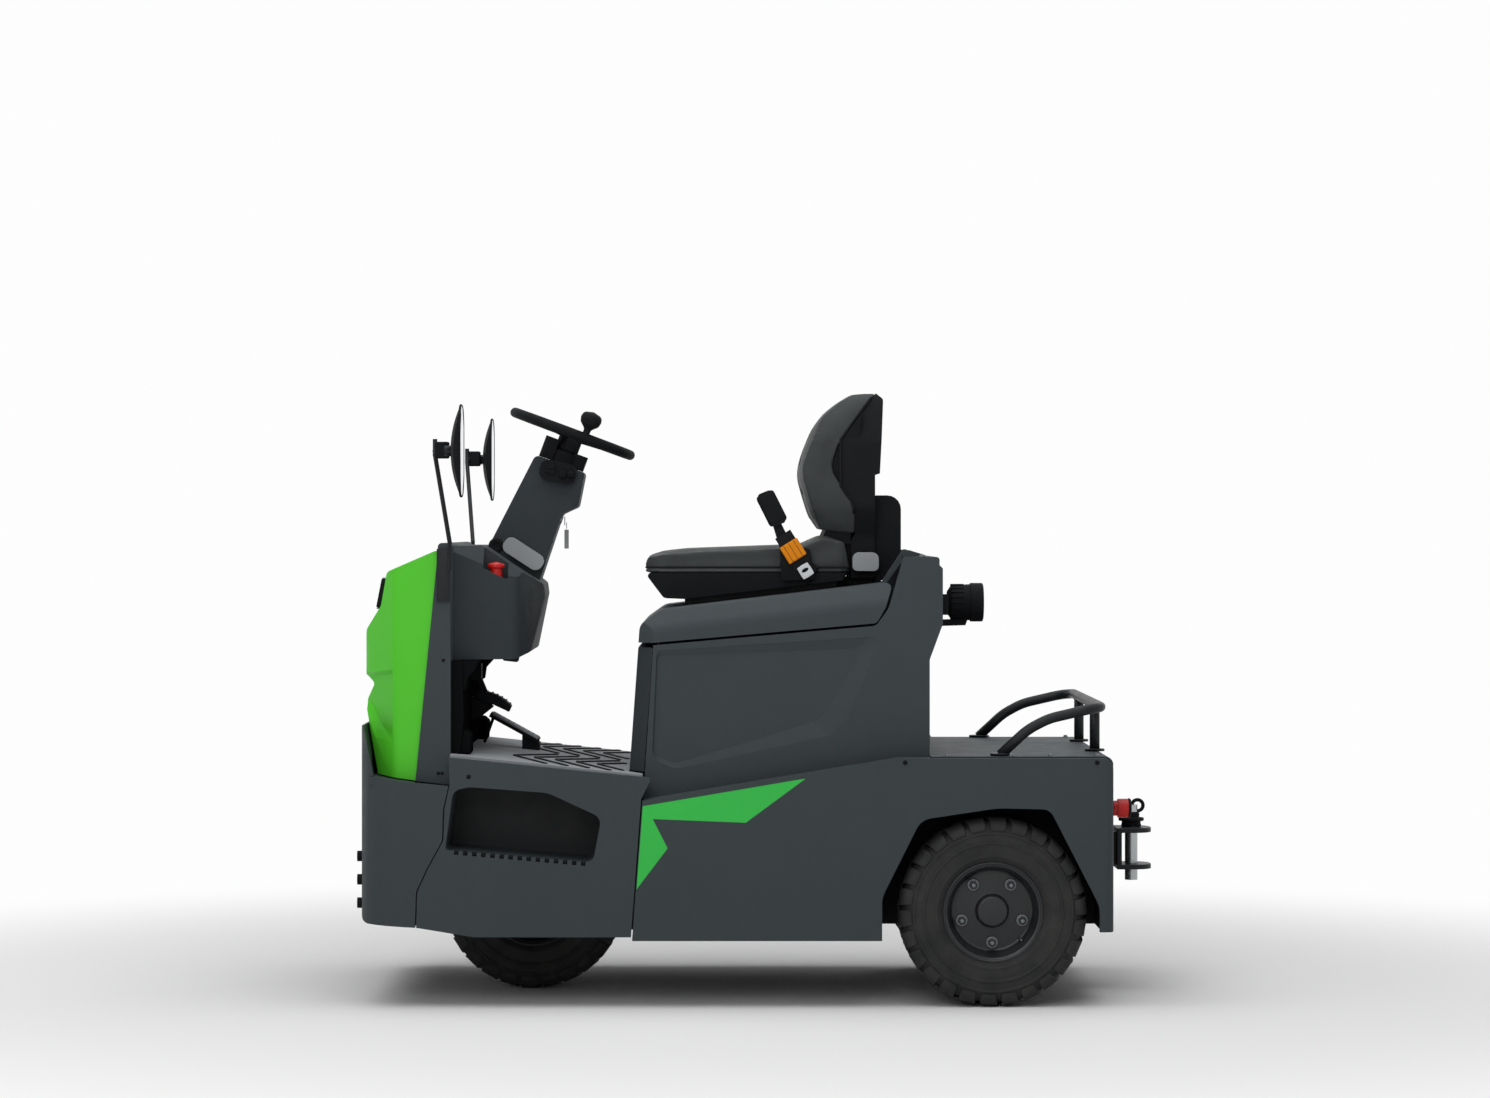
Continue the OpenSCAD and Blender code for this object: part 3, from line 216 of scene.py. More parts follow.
# Widths of the rounded edges, in millimetres
BEVEL = {"body_grey": 3.0, "cover_green": 6.0, "dash_grey": 5.0, "trim_black": 2.0, "frame_steel": 1.5}
OTHER_BEVEL = 1.2
ROUND_NODES = ("luggage_rack", "mirror_arms", "steering_wheel",
               "front_tyre", "rear_tyre_left", "rear_tyre_right")
WELD = 0.05 * MM


def cover(mesh, material):
    """One material over a whole mesh."""
    mesh.materials.clear()
    mesh.materials.append(MATERIALS[material])


def round_edges(obj, width, segments, angle):
    """Bevel, in millimetres, on the edges that turn by more than an angle."""
    bevel = obj.modifiers.new("bevel", "BEVEL")
    bevel.width = width * MM
    bevel.segments = segments
    bevel.limit_method = "ANGLE"
    bevel.angle_limit = math.radians(angle)


def smooth_shade(mesh):
    """Smooth shading on every face."""
    for poly in mesh.polygons:
        poly.use_smooth = True


def soften(obj):
    """Smooth shading with normals weighted by the faces."""
    smooth_shade(obj.data)
    obj.modifiers.new("normal", "WEIGHTED_NORMAL").keep_sharp = True


def dress(obj, slot, width=None):
    """The slot's material, and edges rounded as moulded or folded ones are."""
    cover(obj.data, slot)
    obj.modifiers.new("weld", "WELD").merge_threshold = WELD
    if obj.name not in ROUND_NODES:
        round_edges(obj, width or BEVEL.get(slot, OTHER_BEVEL), 3, 32)
    soften(obj)


for part in RECORD["subparts"]:
    dress(NODES[part["node"]], part["material_slot"])


# Mesh building

BOX_FACES = [(0, 1, 3, 2), (4, 6, 7, 5), (0, 4, 5, 1), (2, 3, 7, 6), (0, 2, 6, 4), (1, 5, 7, 3)]


def mm(x, y, z):
    """Place or offset given in millimetres."""
    return Vector((x * MM, y * MM, z * MM))


def tilt(degrees):
    """Rotation about the Y axis."""
    return Matrix.Rotation(math.radians(degrees), 3, "Y")


def opposite(place):
    """The same place on the other side."""
    return Vector((place.x, -place.y, place.z))


def circle(count, start=0.0):
    """Cosines and sines of even steps round a circle."""
    angles = [2 * math.pi * (i + start) / count for i in range(count)]
    return [(math.cos(a), math.sin(a)) for a in angles]


def loop(centre, first, second, radius, count):
    """Points round a circle in the plane of two directions."""
    return [centre + (first * c + second * s) * radius * MM for c, s in circle(count)]


def placed(name, data):
    """New object in the scene."""
    obj = bpy.data.objects.new(name, data)
    bpy.context.scene.collection.objects.link(obj)
    return obj


class Build:
    """Collects simple closed shapes into one mesh; places are vectors, sizes are in millimetres."""

    def __init__(self):
        self.verts = []
        self.faces = []

    def add(self, verts, faces):
        """Points and faces of one more shape."""
        start = len(self.verts)
        self.verts += [Vector(v) for v in verts]
        self.faces += [[start + i for i in f] for f in faces]

    def rings(self, rings, caps=True):
        """Skin over rings of points, each with as many points as the others."""
        n = len(rings[0])
        faces = []
        for i in range(len(rings) - 1):
            for j in range(n):
                k = (j + 1) % n
                faces.append((i * n + j, i * n + k, (i + 1) * n + k, (i + 1) * n + j))
        if caps:
            faces.append(tuple(reversed(range(n))))
            faces.append(tuple((len(rings) - 1) * n + j for j in range(n)))
        self.add([p for ring in rings for p in ring], faces)

    def lathe(self, origin, axis, profile, count=32, caps=True):
        """Turned shape: profile rows are distance along the axis and radius."""
        turn = UP.rotation_difference(axis).to_matrix()
        rings = []
        for along, radius in profile:
            rings.append([origin + turn @ mm(radius * c, radius * s, along) for c, s in circle(count)])
        self.rings(rings, caps)

    def tube(self, points, radius, count=12, flat=1.0):
        """Round or flattened bar along points."""
        rings = []
        up = (points[1] - points[0]).orthogonal()
        for i, p in enumerate(points):
            ahead = (points[min(i + 1, len(points) - 1)] - points[max(i - 1, 0)]).normalized()
            up = (up - ahead * up.dot(ahead)).normalized()
            side = ahead.cross(up) * flat
            rings.append([p + (up * c + side * s) * radius * MM for c, s in circle(count)])
        self.rings(rings)

    def hoop(self, points, radius, count=8):
        """Round cord along a closed row of points."""
        n = len(points)
        centre = sum(points, Vector()) / n
        rings = []
        for i, p in enumerate(points):
            ahead = (points[(i + 1) % n] - points[i - 1]).normalized()
            out = p - centre
            out = (out - ahead * out.dot(ahead)).normalized()
            side = ahead.cross(out)
            rings.append([p + (out * c + side * s) * radius * MM for c, s in circle(count)])
        self.rings(rings + [rings[0]], caps=False)

    def box(self, centre, size, turn=Matrix.Identity(3)):
        """Box by its middle and size, turned by a matrix."""
        x, y, z = (side / 2 for side in size)
        corners = [mm(i * x, j * y, k * z) for i in (-1, 1) for j in (-1, 1) for k in (-1, 1)]
        self.add([centre + turn @ corner for corner in corners], BOX_FACES)

    def prism(self, origin, rows, low, high):
        """Plate of (x, z) rows between two distances across, all from an origin."""
        self.rings([[origin + mm(x, y, z) for x, z in rows] for y in (low, high)])

    def holed(self, outer, inner, back, front):
        """Plate with an opening: two rows of points, each moved to the back and to the front."""
        rows = ((outer, back), (outer, front), (inner, front), (inner, back), (outer, back))
        self.rings([[p + move for p in row] for row, move in rows], caps=False)

    def mirrored(self):
        """The same shapes on the other side as well."""
        self.add([opposite(v) for v in self.verts], [list(reversed(f)) for f in self.faces])
        return self

    def mesh(self, name):
        """Mesh of the shapes, with normals that look outward."""
        mesh = bpy.data.meshes.new(name)
        mesh.from_pydata([tuple(v) for v in self.verts], [], [tuple(f) for f in self.faces])
        work = bmesh.new()
        work.from_mesh(mesh)
        bmesh.ops.recalc_face_normals(work, faces=work.faces)
        work.to_mesh(mesh)
        work.free()
        return mesh

    def piece(self, name, material, body="chassis", slot=None, bevel=0.0, segments=2, angle=35):
        """Finished object that rides on a body; the slot argument is not used."""
        slot = slot or material
        obj = placed(name, self.mesh(name))
        cover(obj.data, material)
        if bevel:
            round_edges(obj, bevel, segments, angle)
        soften(obj)
        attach(obj, body)
        return obj


# Places that several pieces share

def middle(node):
    """Middle of a CAD node's box."""
    lo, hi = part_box(node)
    return (lo + hi) / 2


FENDER_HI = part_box("fender_panel_left")[1]
FENDER_SIDE = Vector((0, FENDER_HI.y, 0))
BOX_LO, BOX_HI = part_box("battery_side_left")
DECK_LO, DECK_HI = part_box("rear_deck")
FLOOR_LO, FLOOR_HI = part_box("floor_plate")
CUSHION_LO, CUSHION_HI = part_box("seat_cushion")
BACK_LO, BACK_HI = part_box("seat_backrest")
PAN_LO, PAN_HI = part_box("seat_pan")
REAR_TYRE_LO, REAR_TYRE_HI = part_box("rear_tyre_left")
FRONT_AXLE = middle("front_tyre")
REAR_AXLE_LEFT = middle("rear_tyre_left")
REAR_AXLE_RIGHT = opposite(REAR_AXLE_LEFT)
# Tyre's radius and width, in millimetres
TYRE_R = (REAR_TYRE_HI.z - REAR_TYRE_LO.z) / 2 / MM
TYRE_W = (REAR_TYRE_HI.y - REAR_TYRE_LO.y) / MM


# Stripe on the fender panels

def stripes():
    """Arrow-shaped stripe laid on each fender panel."""
    corner = Vector((FENDER_HI.x, FENDER_HI.y, 0))
    rows = [(-26, 489), (-420, 556), (-275, 449), (-50, 458), (-86, 387), (-11, 288)]
    band = Build()
    band.prism(corner, rows, -0.2, 0.5)
    band.mirrored().piece("side_stripes", "stripe_green", slot="cover_green")


stripes()


# Tread and tyres

def carcass(tyre, centre, groove):
    """Tyre's body turned about the axle, with moulded rings on its sides."""
    bead = 123.5
    # Section from bead to crown: in from the side, radius
    section = [
        (14, bead), (6, bead + 8), (3.5, bead + 13), (5, bead + 17), (3, bead + 26),
        (3, TYRE_R - 66), (0.5, TYRE_R - 64), (0.5, TYRE_R - 60), (3, TYRE_R - 58),
        (3.6, TYRE_R - 42), (1.2, TYRE_R - 40), (1.4, TYRE_R - 36), (4.4, TYRE_R - 34),
        (5 + groove * 0.5, TYRE_R - 22), (9 + groove, TYRE_R - groove - 4), (40, TYRE_R - groove)]
    flank = [(y - TYRE_W / 2, r) for y, r in section]
    profile = flank + [(0, TYRE_R - groove + 1)] + [(-y, r) for y, r in reversed(flank)]
    tyre.lathe(centre, LEFT, profile + [profile[0]], 128, caps=False)


def lugs(tyre, centre, groove):
    """Lugs that wrap round both shoulders, those of one side between those of the other."""
    count = 26
    skew = 0.06
    flare = 1.04
    tuck = 0.12
    half = TYRE_W / 2
    under = TYRE_R - groove - 4
    # Stations: share of the half width, outer radius, inner radius, half angle
    stations = [
        (0.02, TYRE_R - 0.6, under, 0.085), (0.45, TYRE_R, under, 0.088),
        (0.78, TYRE_R - 2.5, under - 4, 0.09), (0.93, TYRE_R - 10, under - 16, 0.09),
        (0.975, TYRE_R - 21, TYRE_R - 34, 0.088), (0.965, TYRE_R - 31, TYRE_R - 35, 0.08)]
    for side, shift in ((-1, 0.0), (1, 0.5)):
        for i in range(count):
            start = 2 * math.pi * (i + shift) / count
            rings = []
            for share, outer, inner, wide in stations:
                mid = start + skew * share
                y = side * share * half
                y_in = side * max(0.0, share - tuck) * half
                ring = [(mid - wide, outer, y), (mid + wide, outer, y),
                        (mid + wide * flare, inner, y_in), (mid - wide * flare, inner, y_in)]
                rings.append([centre + mm(r * math.cos(a), across, r * math.sin(a)) for a, r, across in ring])
            tyre.rings(rings)


def tyre_piece(name, centre, body, node, groove):
    """Tyre with its tread, in place of the plain one."""
    tyre = Build()
    carcass(tyre, centre, groove)
    lugs(tyre, centre, groove)
    piece = tyre.piece(name, "tyre", body, bevel=1.6, angle=40)
    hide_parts(node)


tyre_piece("front_tread", FRONT_AXLE, "front_wheel", "front_tyre", 4)
tyre_piece("rear_tread_left", REAR_AXLE_LEFT, "rear_wheel_left", "rear_tyre_left", 9)
tyre_piece("rear_tread_right", REAR_AXLE_RIGHT, "rear_wheel_right", "rear_tyre_right", 9)


# Soft seat

PAD_VOXEL = 6 * MM
PAD_INSET = 2 * MM
PAD_RISE = 9 * MM
PAD_ROUNDS = 14
CLOTH_FRAMES = 20
CHANNEL = 7 * MM


def evaluated(obj):
    """Mesh of an object with its modifiers."""
    return bpy.data.meshes.new_from_object(obj.evaluated_get(bpy.context.evaluated_depsgraph_get()))


def bake(obj):
    """Turns an object's modifiers into its mesh."""
    mesh = evaluated(obj)
    obj.modifiers.clear()
    obj.data = mesh


def relaxed(mesh, values, rounds):
    """Values of the vertices evened out with their neighbours."""
    near = [[] for _ in mesh.vertices]
    for edge in mesh.edges:
        a, b = edge.vertices
        near[a].append(b)
        near[b].append(a)
    for _ in range(rounds):
        values = [(value + sum((values[j] for j in others), Vector())) / (1 + len(others))
                  for value, others in zip(values, near)]
    return values


def inflated(obj, held):
    """Places of the vertices after a cloth simulation with pressure inside, the held ones fixed."""
    scene = bpy.context.scene
    group = obj.vertex_groups.new(name="held")
    group.add([i for i, hold in enumerate(held) if hold], 1.0, "REPLACE")
    cloth = obj.modifiers.new("cloth", "CLOTH")
    cloth.settings.use_pressure = True
    cloth.settings.uniform_pressure_force = 4.0
    cloth.settings.vertex_group_mass = "held"
    cloth.settings.effector_weights.gravity = 0.0
    cloth.collision_settings.use_collision = False
    cloth.point_cache.frame_start = 1
    cloth.point_cache.frame_end = CLOTH_FRAMES
    for number in range(1, CLOTH_FRAMES + 1):
        scene.frame_set(number)
    places = [v.co.copy() for v in evaluated(obj).vertices]
    obj.modifiers.clear()
    scene.frame_set(1)
    return places


def soft_pad(name, node, pinned, shape, limit_y):
    """Padded piece inflated by a cloth simulation from a copy of its solid, then shaped by its seams."""
    obj = placed(name, NODES[node].data.copy())
    remesh = obj.modifiers.new("remesh", "REMESH")
    remesh.mode = "VOXEL"
    remesh.voxel_size = PAD_VOXEL
    bake(obj)
    mesh = obj.data
    held = [pinned(v.co, v.normal) for v in mesh.vertices]
    normals = [v.normal.copy() for v in mesh.vertices]
    for v, normal, hold in zip(mesh.vertices, normals, held):
        if not hold:
            v.co -= normal * PAD_INSET
    rest = [v.co.copy() for v in mesh.vertices]
    moves = [end - start for start, end in zip(rest, inflated(obj, held))]
    moves = [move * min(1.0, PAD_RISE / max(move.length, 1e-9)) for move in moves]
    moves = relaxed(mesh, moves, PAD_ROUNDS)
    for v, start, move, hold in zip(mesh.vertices, rest, moves, held):
        v.co = start if hold else start + move
    mesh.update()
    normals = [v.normal.copy() for v in mesh.vertices]
    for v, normal, hold in zip(mesh.vertices, normals, held):
        if not hold:
            v.co -= normal * shape(v.co, normal)
        v.co.y = max(-limit_y, min(limit_y, v.co.y))
    smooth_shade(mesh)
    cover(mesh, "seat_vinyl")
    smooth = obj.modifiers.new("smooth", "SUBSURF")
    smooth.levels = 1
    smooth.render_levels = 1
    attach(obj, "hood")
    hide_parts(node)
    return obj


def groove(distance, width, depth):
    """Depth of a sewn channel at a distance from its line."""
    return depth * math.exp(-(distance / width) ** 2)


def quilting(y, along, length, bolster, shares, hollow):
    """Depth of the seams beside the bolsters, and of the cross channels and the hollow between them."""
    depth = groove(abs(abs(y) - bolster), CHANNEL, 6 * MM)
    if abs(y) < bolster:
        for share in shares:
            depth += groove((along - share) * length, CHANNEL, 5 * MM)
        depth += hollow * (1 - (abs(y) / bolster) ** 2)
    return depth


def cushion_shape(p, n):
    """Side bolsters, two cross channels, a hollow for the driver and a seam low on the sides."""
    up = max(0.0, n.z)
    length = CUSHION_HI.x - CUSHION_LO.x
    front = (CUSHION_HI.x - p.x) / length
    hollow = 7 * MM * math.sin(math.pi * min(1.0, front * 1.1))
    depth = quilting(p.y, front, length, 165 * MM, (0.3, 0.56), hollow)
    return up * depth + groove(p.z - CUSHION_LO.z - 12 * MM, 4 * MM, 2.5 * MM) * (1 - up)


def backrest_shape(p, n):
    """Side bolsters, cross channels and a hollow."""
    height = BACK_HI.z - BACK_LO.z
    up = (p.z - BACK_LO.z) / height
    return max(0.0, n.x) * quilting(p.y, up, height, 140 * MM, (0.3, 0.52, 0.74), 9 * MM)


cushion = soft_pad("cushion_pad", "seat_cushion",
                   lambda p, n: p.z < CUSHION_LO.z + 5 * MM or n.x < -0.6, cushion_shape, 244 * MM)
backrest = soft_pad("backrest_pad", "seat_backrest", lambda p, n: n.x < -0.25, backrest_shape, 242 * MM)


def skin(obj):
    """Search tree over the faces of an object."""
    mesh = obj.data
    return BVHTree.FromPolygons([v.co for v in mesh.vertices], [tuple(p.vertices) for p in mesh.polygons])


def cushion_piping():
    """Sewn cord round the cushion, where its skin meets a level plane."""
    tree = skin(cushion)
    reach = 600 * MM
    origin = Vector((middle("seat_cushion").x, 0, CUSHION_LO.z + 13 * MM))
    first = UP.orthogonal().normalized()
    second = UP.cross(first)
    points = []
    for c, s in circle(160):
        out = first * c + second * s
        hit = tree.ray_cast(origin + out * reach, -out)[0]
        if hit:
            points.append(hit)
    trim = Build()
    trim.hoop(points, 3)
    trim.piece("cushion_piping", "webbing", "hood", "seat_vinyl")


cushion_piping()


# Belt and buckle

def belt():
    """Sleeve with its strap, tongue with its slot, buckle's head with its button, and the anchor."""
    lo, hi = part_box("seat_belt")
    turn = tilt(32)
    tag_at = Vector((PAN_LO.x, hi.y, PAN_HI.z)) + mm(137, -1, 54)
    tag = Build()
    tag.box(tag_at, (50, 13, 48), turn)
    tag.piece("belt_sleeve", "tag_orange", "hood", "trim_black", bevel=3, segments=3)
    strap = Build()
    for step in (-34, 34):
        strap.box(tag_at + turn @ mm(0, -3, step), (44, 3, 30), turn)
    for step in (-14, 0, 14):
        strap.box(tag_at + turn @ mm(step, 6.4, 0), (1.2, 1, 46), turn)
    strap.piece("belt_strap", "webbing", "hood", "trim_black", bevel=0.8)
    at = tag_at + turn @ mm(0, 1, -58)
    outer, inner = [], []
    for c, s in circle(40):
        k = 1 / max(abs(c), abs(s)) ** 0.8
        outer.append(at + turn @ mm(16 * c * k, 0, 17 * s * k))
        inner.append(at + turn @ mm(9 * c, 0, 4.5 * s + 2))
    plate = Build()
    plate.holed(outer, inner, mm(0, -1.2, 0), mm(0, 1.2, 0))
    plate.piece("belt_tongue", "pin_steel", "hood", bevel=0.5)
    lean = Vector((0.447, 0, 0.894))
    head_at = Vector((PAN_LO.x, hi.y, CUSHION_LO.z)) + mm(190, -12, 159)
    head = Build()
    head.box(head_at, (48, 26, 84), tilt(26.6))
    head.piece("buckle_head", "trim_black", "hood", bevel=9, segments=4)
    anchor = Build()
    anchor.box(Vector((PAN_LO.x, lo.y, CUSHION_LO.z)) + mm(122, 7, 16), (88, 12, 50), tilt(-32))
    anchor.piece("belt_anchor", "trim_black", "hood", bevel=5, segments=3)
    button = Build()
    button.tube([head_at + lean * 38 * MM, head_at + lean * 44 * MM], 8, 16, 0.7)
    button.piece("buckle_button", "button_red", "hood", bevel=1)


belt()


# Rubber mat

FLOOR_SLOPE = math.radians(6.0)


def floor_height(x):
    """Top of the sloping floor."""
    return FLOOR_HI.z - (FLOOR_HI.x - x) * math.tan(FLOOR_SLOPE)


def mat_ribs():
    """Chevron ribs of the floor mat: two columns whose points look forward. They are black, painted shade for
    their shaded sides.
    """
    mat = Build()
    point = 250 * MM
    gap = 9 * MM
    shortest = 40 * MM
    rake = 0.45

    def rib(start, end):
        """Straight rib between two points of the floor's plan."""
        off = (end - start).orthogonal().normalized() * 5 * MM
        corners = [start + off, end + off, end - off, start - off]
        mat.rings([[(p.x, p.y, floor_height(p.x) + up) for p in corners] for up in (-0.5 * MM, 3 * MM)])

    for i in range(6):
        tip = FLOOR_HI.x - (142 + 52 * i) * MM
        room = (tip - FLOOR_LO.x - 50 * MM) / rake
        for end in (30 * MM, FLOOR_HI.y - 26 * MM):
            reach = min(abs(end - point), room)
            if reach > shortest:
                side = math.copysign(1, end - point)
                rib(*[Vector((tip - run * rake, point + side * run)) for run in (gap, reach)])
    mat.mirrored().piece("mat_ribs", "trim_black")


mat_ribs()


# Lamps, mirrors and rear fittings

def lamp_face(side):
    """Middle and normal of the largest flat face that looks forward on one headlamp."""
    groups = {}
    for poly in NODES["headlamps"].data.polygons:
        if poly.center.y * side >= 0 and poly.normal.dot(AHEAD) > 0.8:
            key = tuple(round(c, 2) for c in poly.normal) + (round(poly.normal.dot(poly.center), 3),)
            groups.setdefault(key, []).append(poly)
    best = max(groups.values(), key=lambda polys: sum(p.area for p in polys))
    total = sum(p.area for p in best)
    return sum((p.center * p.area for p in best), Vector()) / total, best[0].normal.copy()


def rounded(width, height, radius, count=8):
    """Outline of a rounded oblong as (across, up) pairs."""
    points = []
    for k, (sx, sy) in enumerate(((1, 1), (-1, 1), (-1, -1), (1, -1))):
        for i in range(count + 1):
            a = math.pi / 2 * (k + i / count)
            points.append((sx * (width / 2 - radius) + radius * math.cos(a),
                           sy * (height / 2 - radius) + radius * math.sin(a)))
    return points


def headlamp_bezels():
    """Black bezel round each pair of reflectors, the rings of the reflectors and bright edges."""
    bezel, rings = Build(), Build()
    half_wide = 37.2
    half_tall = 36
    hole = 28
    for side in (-1, 1):
        centre, normal = lamp_face(side)
        turn = AHEAD.rotation_difference(normal).to_matrix()
        for step in (-37.5, 37.5):
            at = centre + mm(0, step, 0)
            outer, inner = [], []
            for c, s in circle(48, 0.5):
                k = 1 / max(abs(c), abs(s))
                outer.append(at + turn @ mm(0, half_wide * c * k, half_tall * s * k))
                inner.append(at + turn @ mm(0, hole * c, hole * s))
            bezel.holed(outer, inner, turn @ mm(-1, 0, 0), turn @ mm(11, 0, 0))
            for radius, deep in ((27, 2), (22, 11)):
                rings.hoop(loop(at - turn @ mm(deep, 0, 0), turn @ LEFT, turn @ UP, radius, 48), 1.2)
        for up in (-38, 38):
            rings.box(centre + turn @ mm(4, 0, up), (10, 146, 4), turn)
    bezel.piece("headlamp_bezels", "trim_black", bevel=0.8)
    rings.piece("headlamp_rings", "pin_steel")


def tail_lamp_frames():
    """Frame and lens ribs of each tail lamp."""
    lo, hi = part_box("tail_lamps")
    wide = 54
    tall = (hi.z - lo.z) / MM
    mid = Vector((lo.x, hi.y - wide / 2 * MM, (lo.z + hi.z) / 2))
    edge = Build()
    for step in (-0.5, 0.5):
        edge.box(mid + mm(4, step * wide, 0), (14, 4, tall + 4))
        edge.box(mid + mm(4, 0, step * tall), (14, wide + 4, 4))
    edge.mirrored().piece("tail_lamp_frames", "trim_black", bevel=1)
    ribs = Build()
    for i in range(-3, 4):
        ribs.box(mid + mm(-0.4, 0, i * 6), (2, wide - 5, 2.2))
    ribs.mirrored().piece("tail_lamp_ribs", "lamp_red", bevel=0.6)


def work_lamp():
    """Lens and cooling fins of the work light."""
    lo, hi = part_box("work_light")
    fin_count = 20
    back = Vector((lo.x, 0, hi.z - 49 * MM))
    glass = Build()
    glass.lathe(back + mm(13, 0, 0), -AHEAD, [(0, 39), (3, 38.5), (6, 30), (7.5, 16), (8, 0.5)], 40)
    glass.piece("work_light_lens", "lamp_glass")
    fins = Build()
    for i in range(fin_count):
        turn = Matrix.Rotation(2 * math.pi * i / fin_count, 3, "X")
        fins.box(back + mm(66, 0, 0) + turn @ mm(0, 0, 44.6), (34, 3, 4), turn)
    fins.piece("work_light_fins", "trim_black", bevel=0.8)


def mirrors():
    """Glass and rolled rim on the rear face of each mirror."""
    lo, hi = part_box("mirror_heads")
    mid = Vector((lo.x, hi.y - 75 * MM, (lo.z + hi.z) / 2))
    # Crown of the glass: share of the outline, depth
    crown = ((1.0, 1.0), (1.0, -0.8), (0.75, -1.6), (0.4, -2.1), (0.02, -2.2))
    glass, rim = Build(), Build()
    glass.rings([[mid + mm(x, y * k, z * k) for y, z in rounded(142, 212, 58)] for k, x in crown])
    glass.mirrored().piece("mirror_glass", "mirror_glass", slot="lamp_glass")
    rim.hoop([mid + mm(1, y, z) for y, z in rounded(146, 216, 60)], 3)
    rim.mirrored().piece("mirror_rims", "trim_black")


def bolt(build, at, axis, radius):
    """Hex screw head on its washer."""
    build.lathe(at, axis, [(-0.5, radius * 1.7), (1.4, radius * 1.7)], 24)
    build.lathe(at, axis, [(1, radius * 1.15), (radius, radius * 1.15), (radius * 1.2, radius * 0.9)], 6)


def stud(build, at, axis, radius, height):
    """Round screw head with a socket."""
    build.lathe(at, axis, [(-0.5, radius), (height * 0.7, radius), (height, radius * 0.75),
                           (height, radius * 0.45), (height * 0.3, radius * 0.4)], 24)


def rear_fittings():
    """Cap and collar of the push button, boot and ring of the tow pin, bolts of the jaw's plate."""
    lo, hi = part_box("push_button")
    mid = middle("push_button")
    cap = Build()
    cap.lathe(Vector((lo.x + 2 * MM, mid.y, mid.z)), -AHEAD,
              [(0, 24), (3, 24.5), (7, 22), (8, 16), (6, 15), (6, 0.5)], 40)
    cap.lathe(Vector((hi.x - 1 * MM, mid.y, mid.z)), -AHEAD, [(0, 24), (4, 24), (5, 19), (0, 18)], 40)
    cap.piece("push_button_cap", "trim_black", bevel=0.8)
    pin = Vector((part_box("tow_pin")[0].x, 0, 0)) + mm(34, 0, 404)
    boot = Build()
    boot.lathe(pin + mm(0, 0, 0.6), UP, [
        (0, 24.5), (5, 25.5), (8, 24), (13.5, 24), (15, 32),
        (22.5, 32), (24, 20), (30, 21), (36.6, 20), (38, 15)], 40)
    boot.hoop(loop(pin + mm(-16, 0, 54), AHEAD, UP, 14, 36), 4.6, 12)
    boot.piece("tow_pin_boot", "trim_black", "tow_pin", bevel=0.8)
    jaw_lo, jaw_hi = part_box("tow_jaw")
    bolts = Build()
    for y in (-66, 66):
        for z in (jaw_lo.z + 14 * MM, jaw_hi.z - 14 * MM):
            bolt(bolts, Vector((jaw_hi.x, 0, z)) + mm(-13.7, y, 0), -AHEAD, 6)
    bolts.piece("jaw_bolts", "bolt_steel", slot="frame_steel", bevel=0.5)


def screws():
    """Screws on the deck's edges, the tower's top, the panels and the cowl."""
    heads = Build()
    for x in (40, 195, 290, 402):
        bolt(heads, DECK_HI + mm(-x, -14, 0), UP, 4.5)
    tower_lo, tower_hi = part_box("tower")
    tower_at = Vector((tower_lo.x, tower_hi.y, tower_lo.z)) + mm(48, -39.7, 482.7)
    stud(heads, tower_at, UP, 9, 5)
    heads.mirrored().piece("body_bolts", "bolt_steel", slot="frame_steel", bevel=0.4)
    plugs = Build()
    for x, z in ((-345, 594), (-809, 594), (710, 560)):
        stud(plugs, FENDER_SIDE + mm(x, 0, z), LEFT, 5.5, 2)
    cowl_side = Vector((0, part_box("front_cowl")[1].y, 0))
    for x, z in ((786, 566), (777, 566), (774, 840)):
        stud(plugs, cowl_side + mm(x, 0, z), LEFT, 4, 2)
    plugs.mirrored().piece("panel_screws", "trim_black")


headlamp_bezels()
tail_lamp_frames()
work_lamp()
mirrors()
rear_fittings()
screws()


# Controls

WHEEL_TURN = next(j for j in RECORD["behaviour"]["joints"] if j["name"] == "steering_wheel_turn")
WHEEL_AT = Vector(WHEEL_TURN["pos_m"])
COLUMN_UP = Vector(WHEEL_TURN["axis"]).normalized()
COLUMN_AHEAD = Vector((COLUMN_UP.z, 0, -COLUMN_UP.x))
COWL = Vector((FLOOR_HI.x + 0.3 * MM, 0, FLOOR_HI.z))


def on_column(u, y, w):
    """Point in the column's own frame: ahead of its axis, left and along it, in millimetres."""
    return WHEEL_AT + (COLUMN_AHEAD * u + LEFT * y + COLUMN_UP * w) * MM


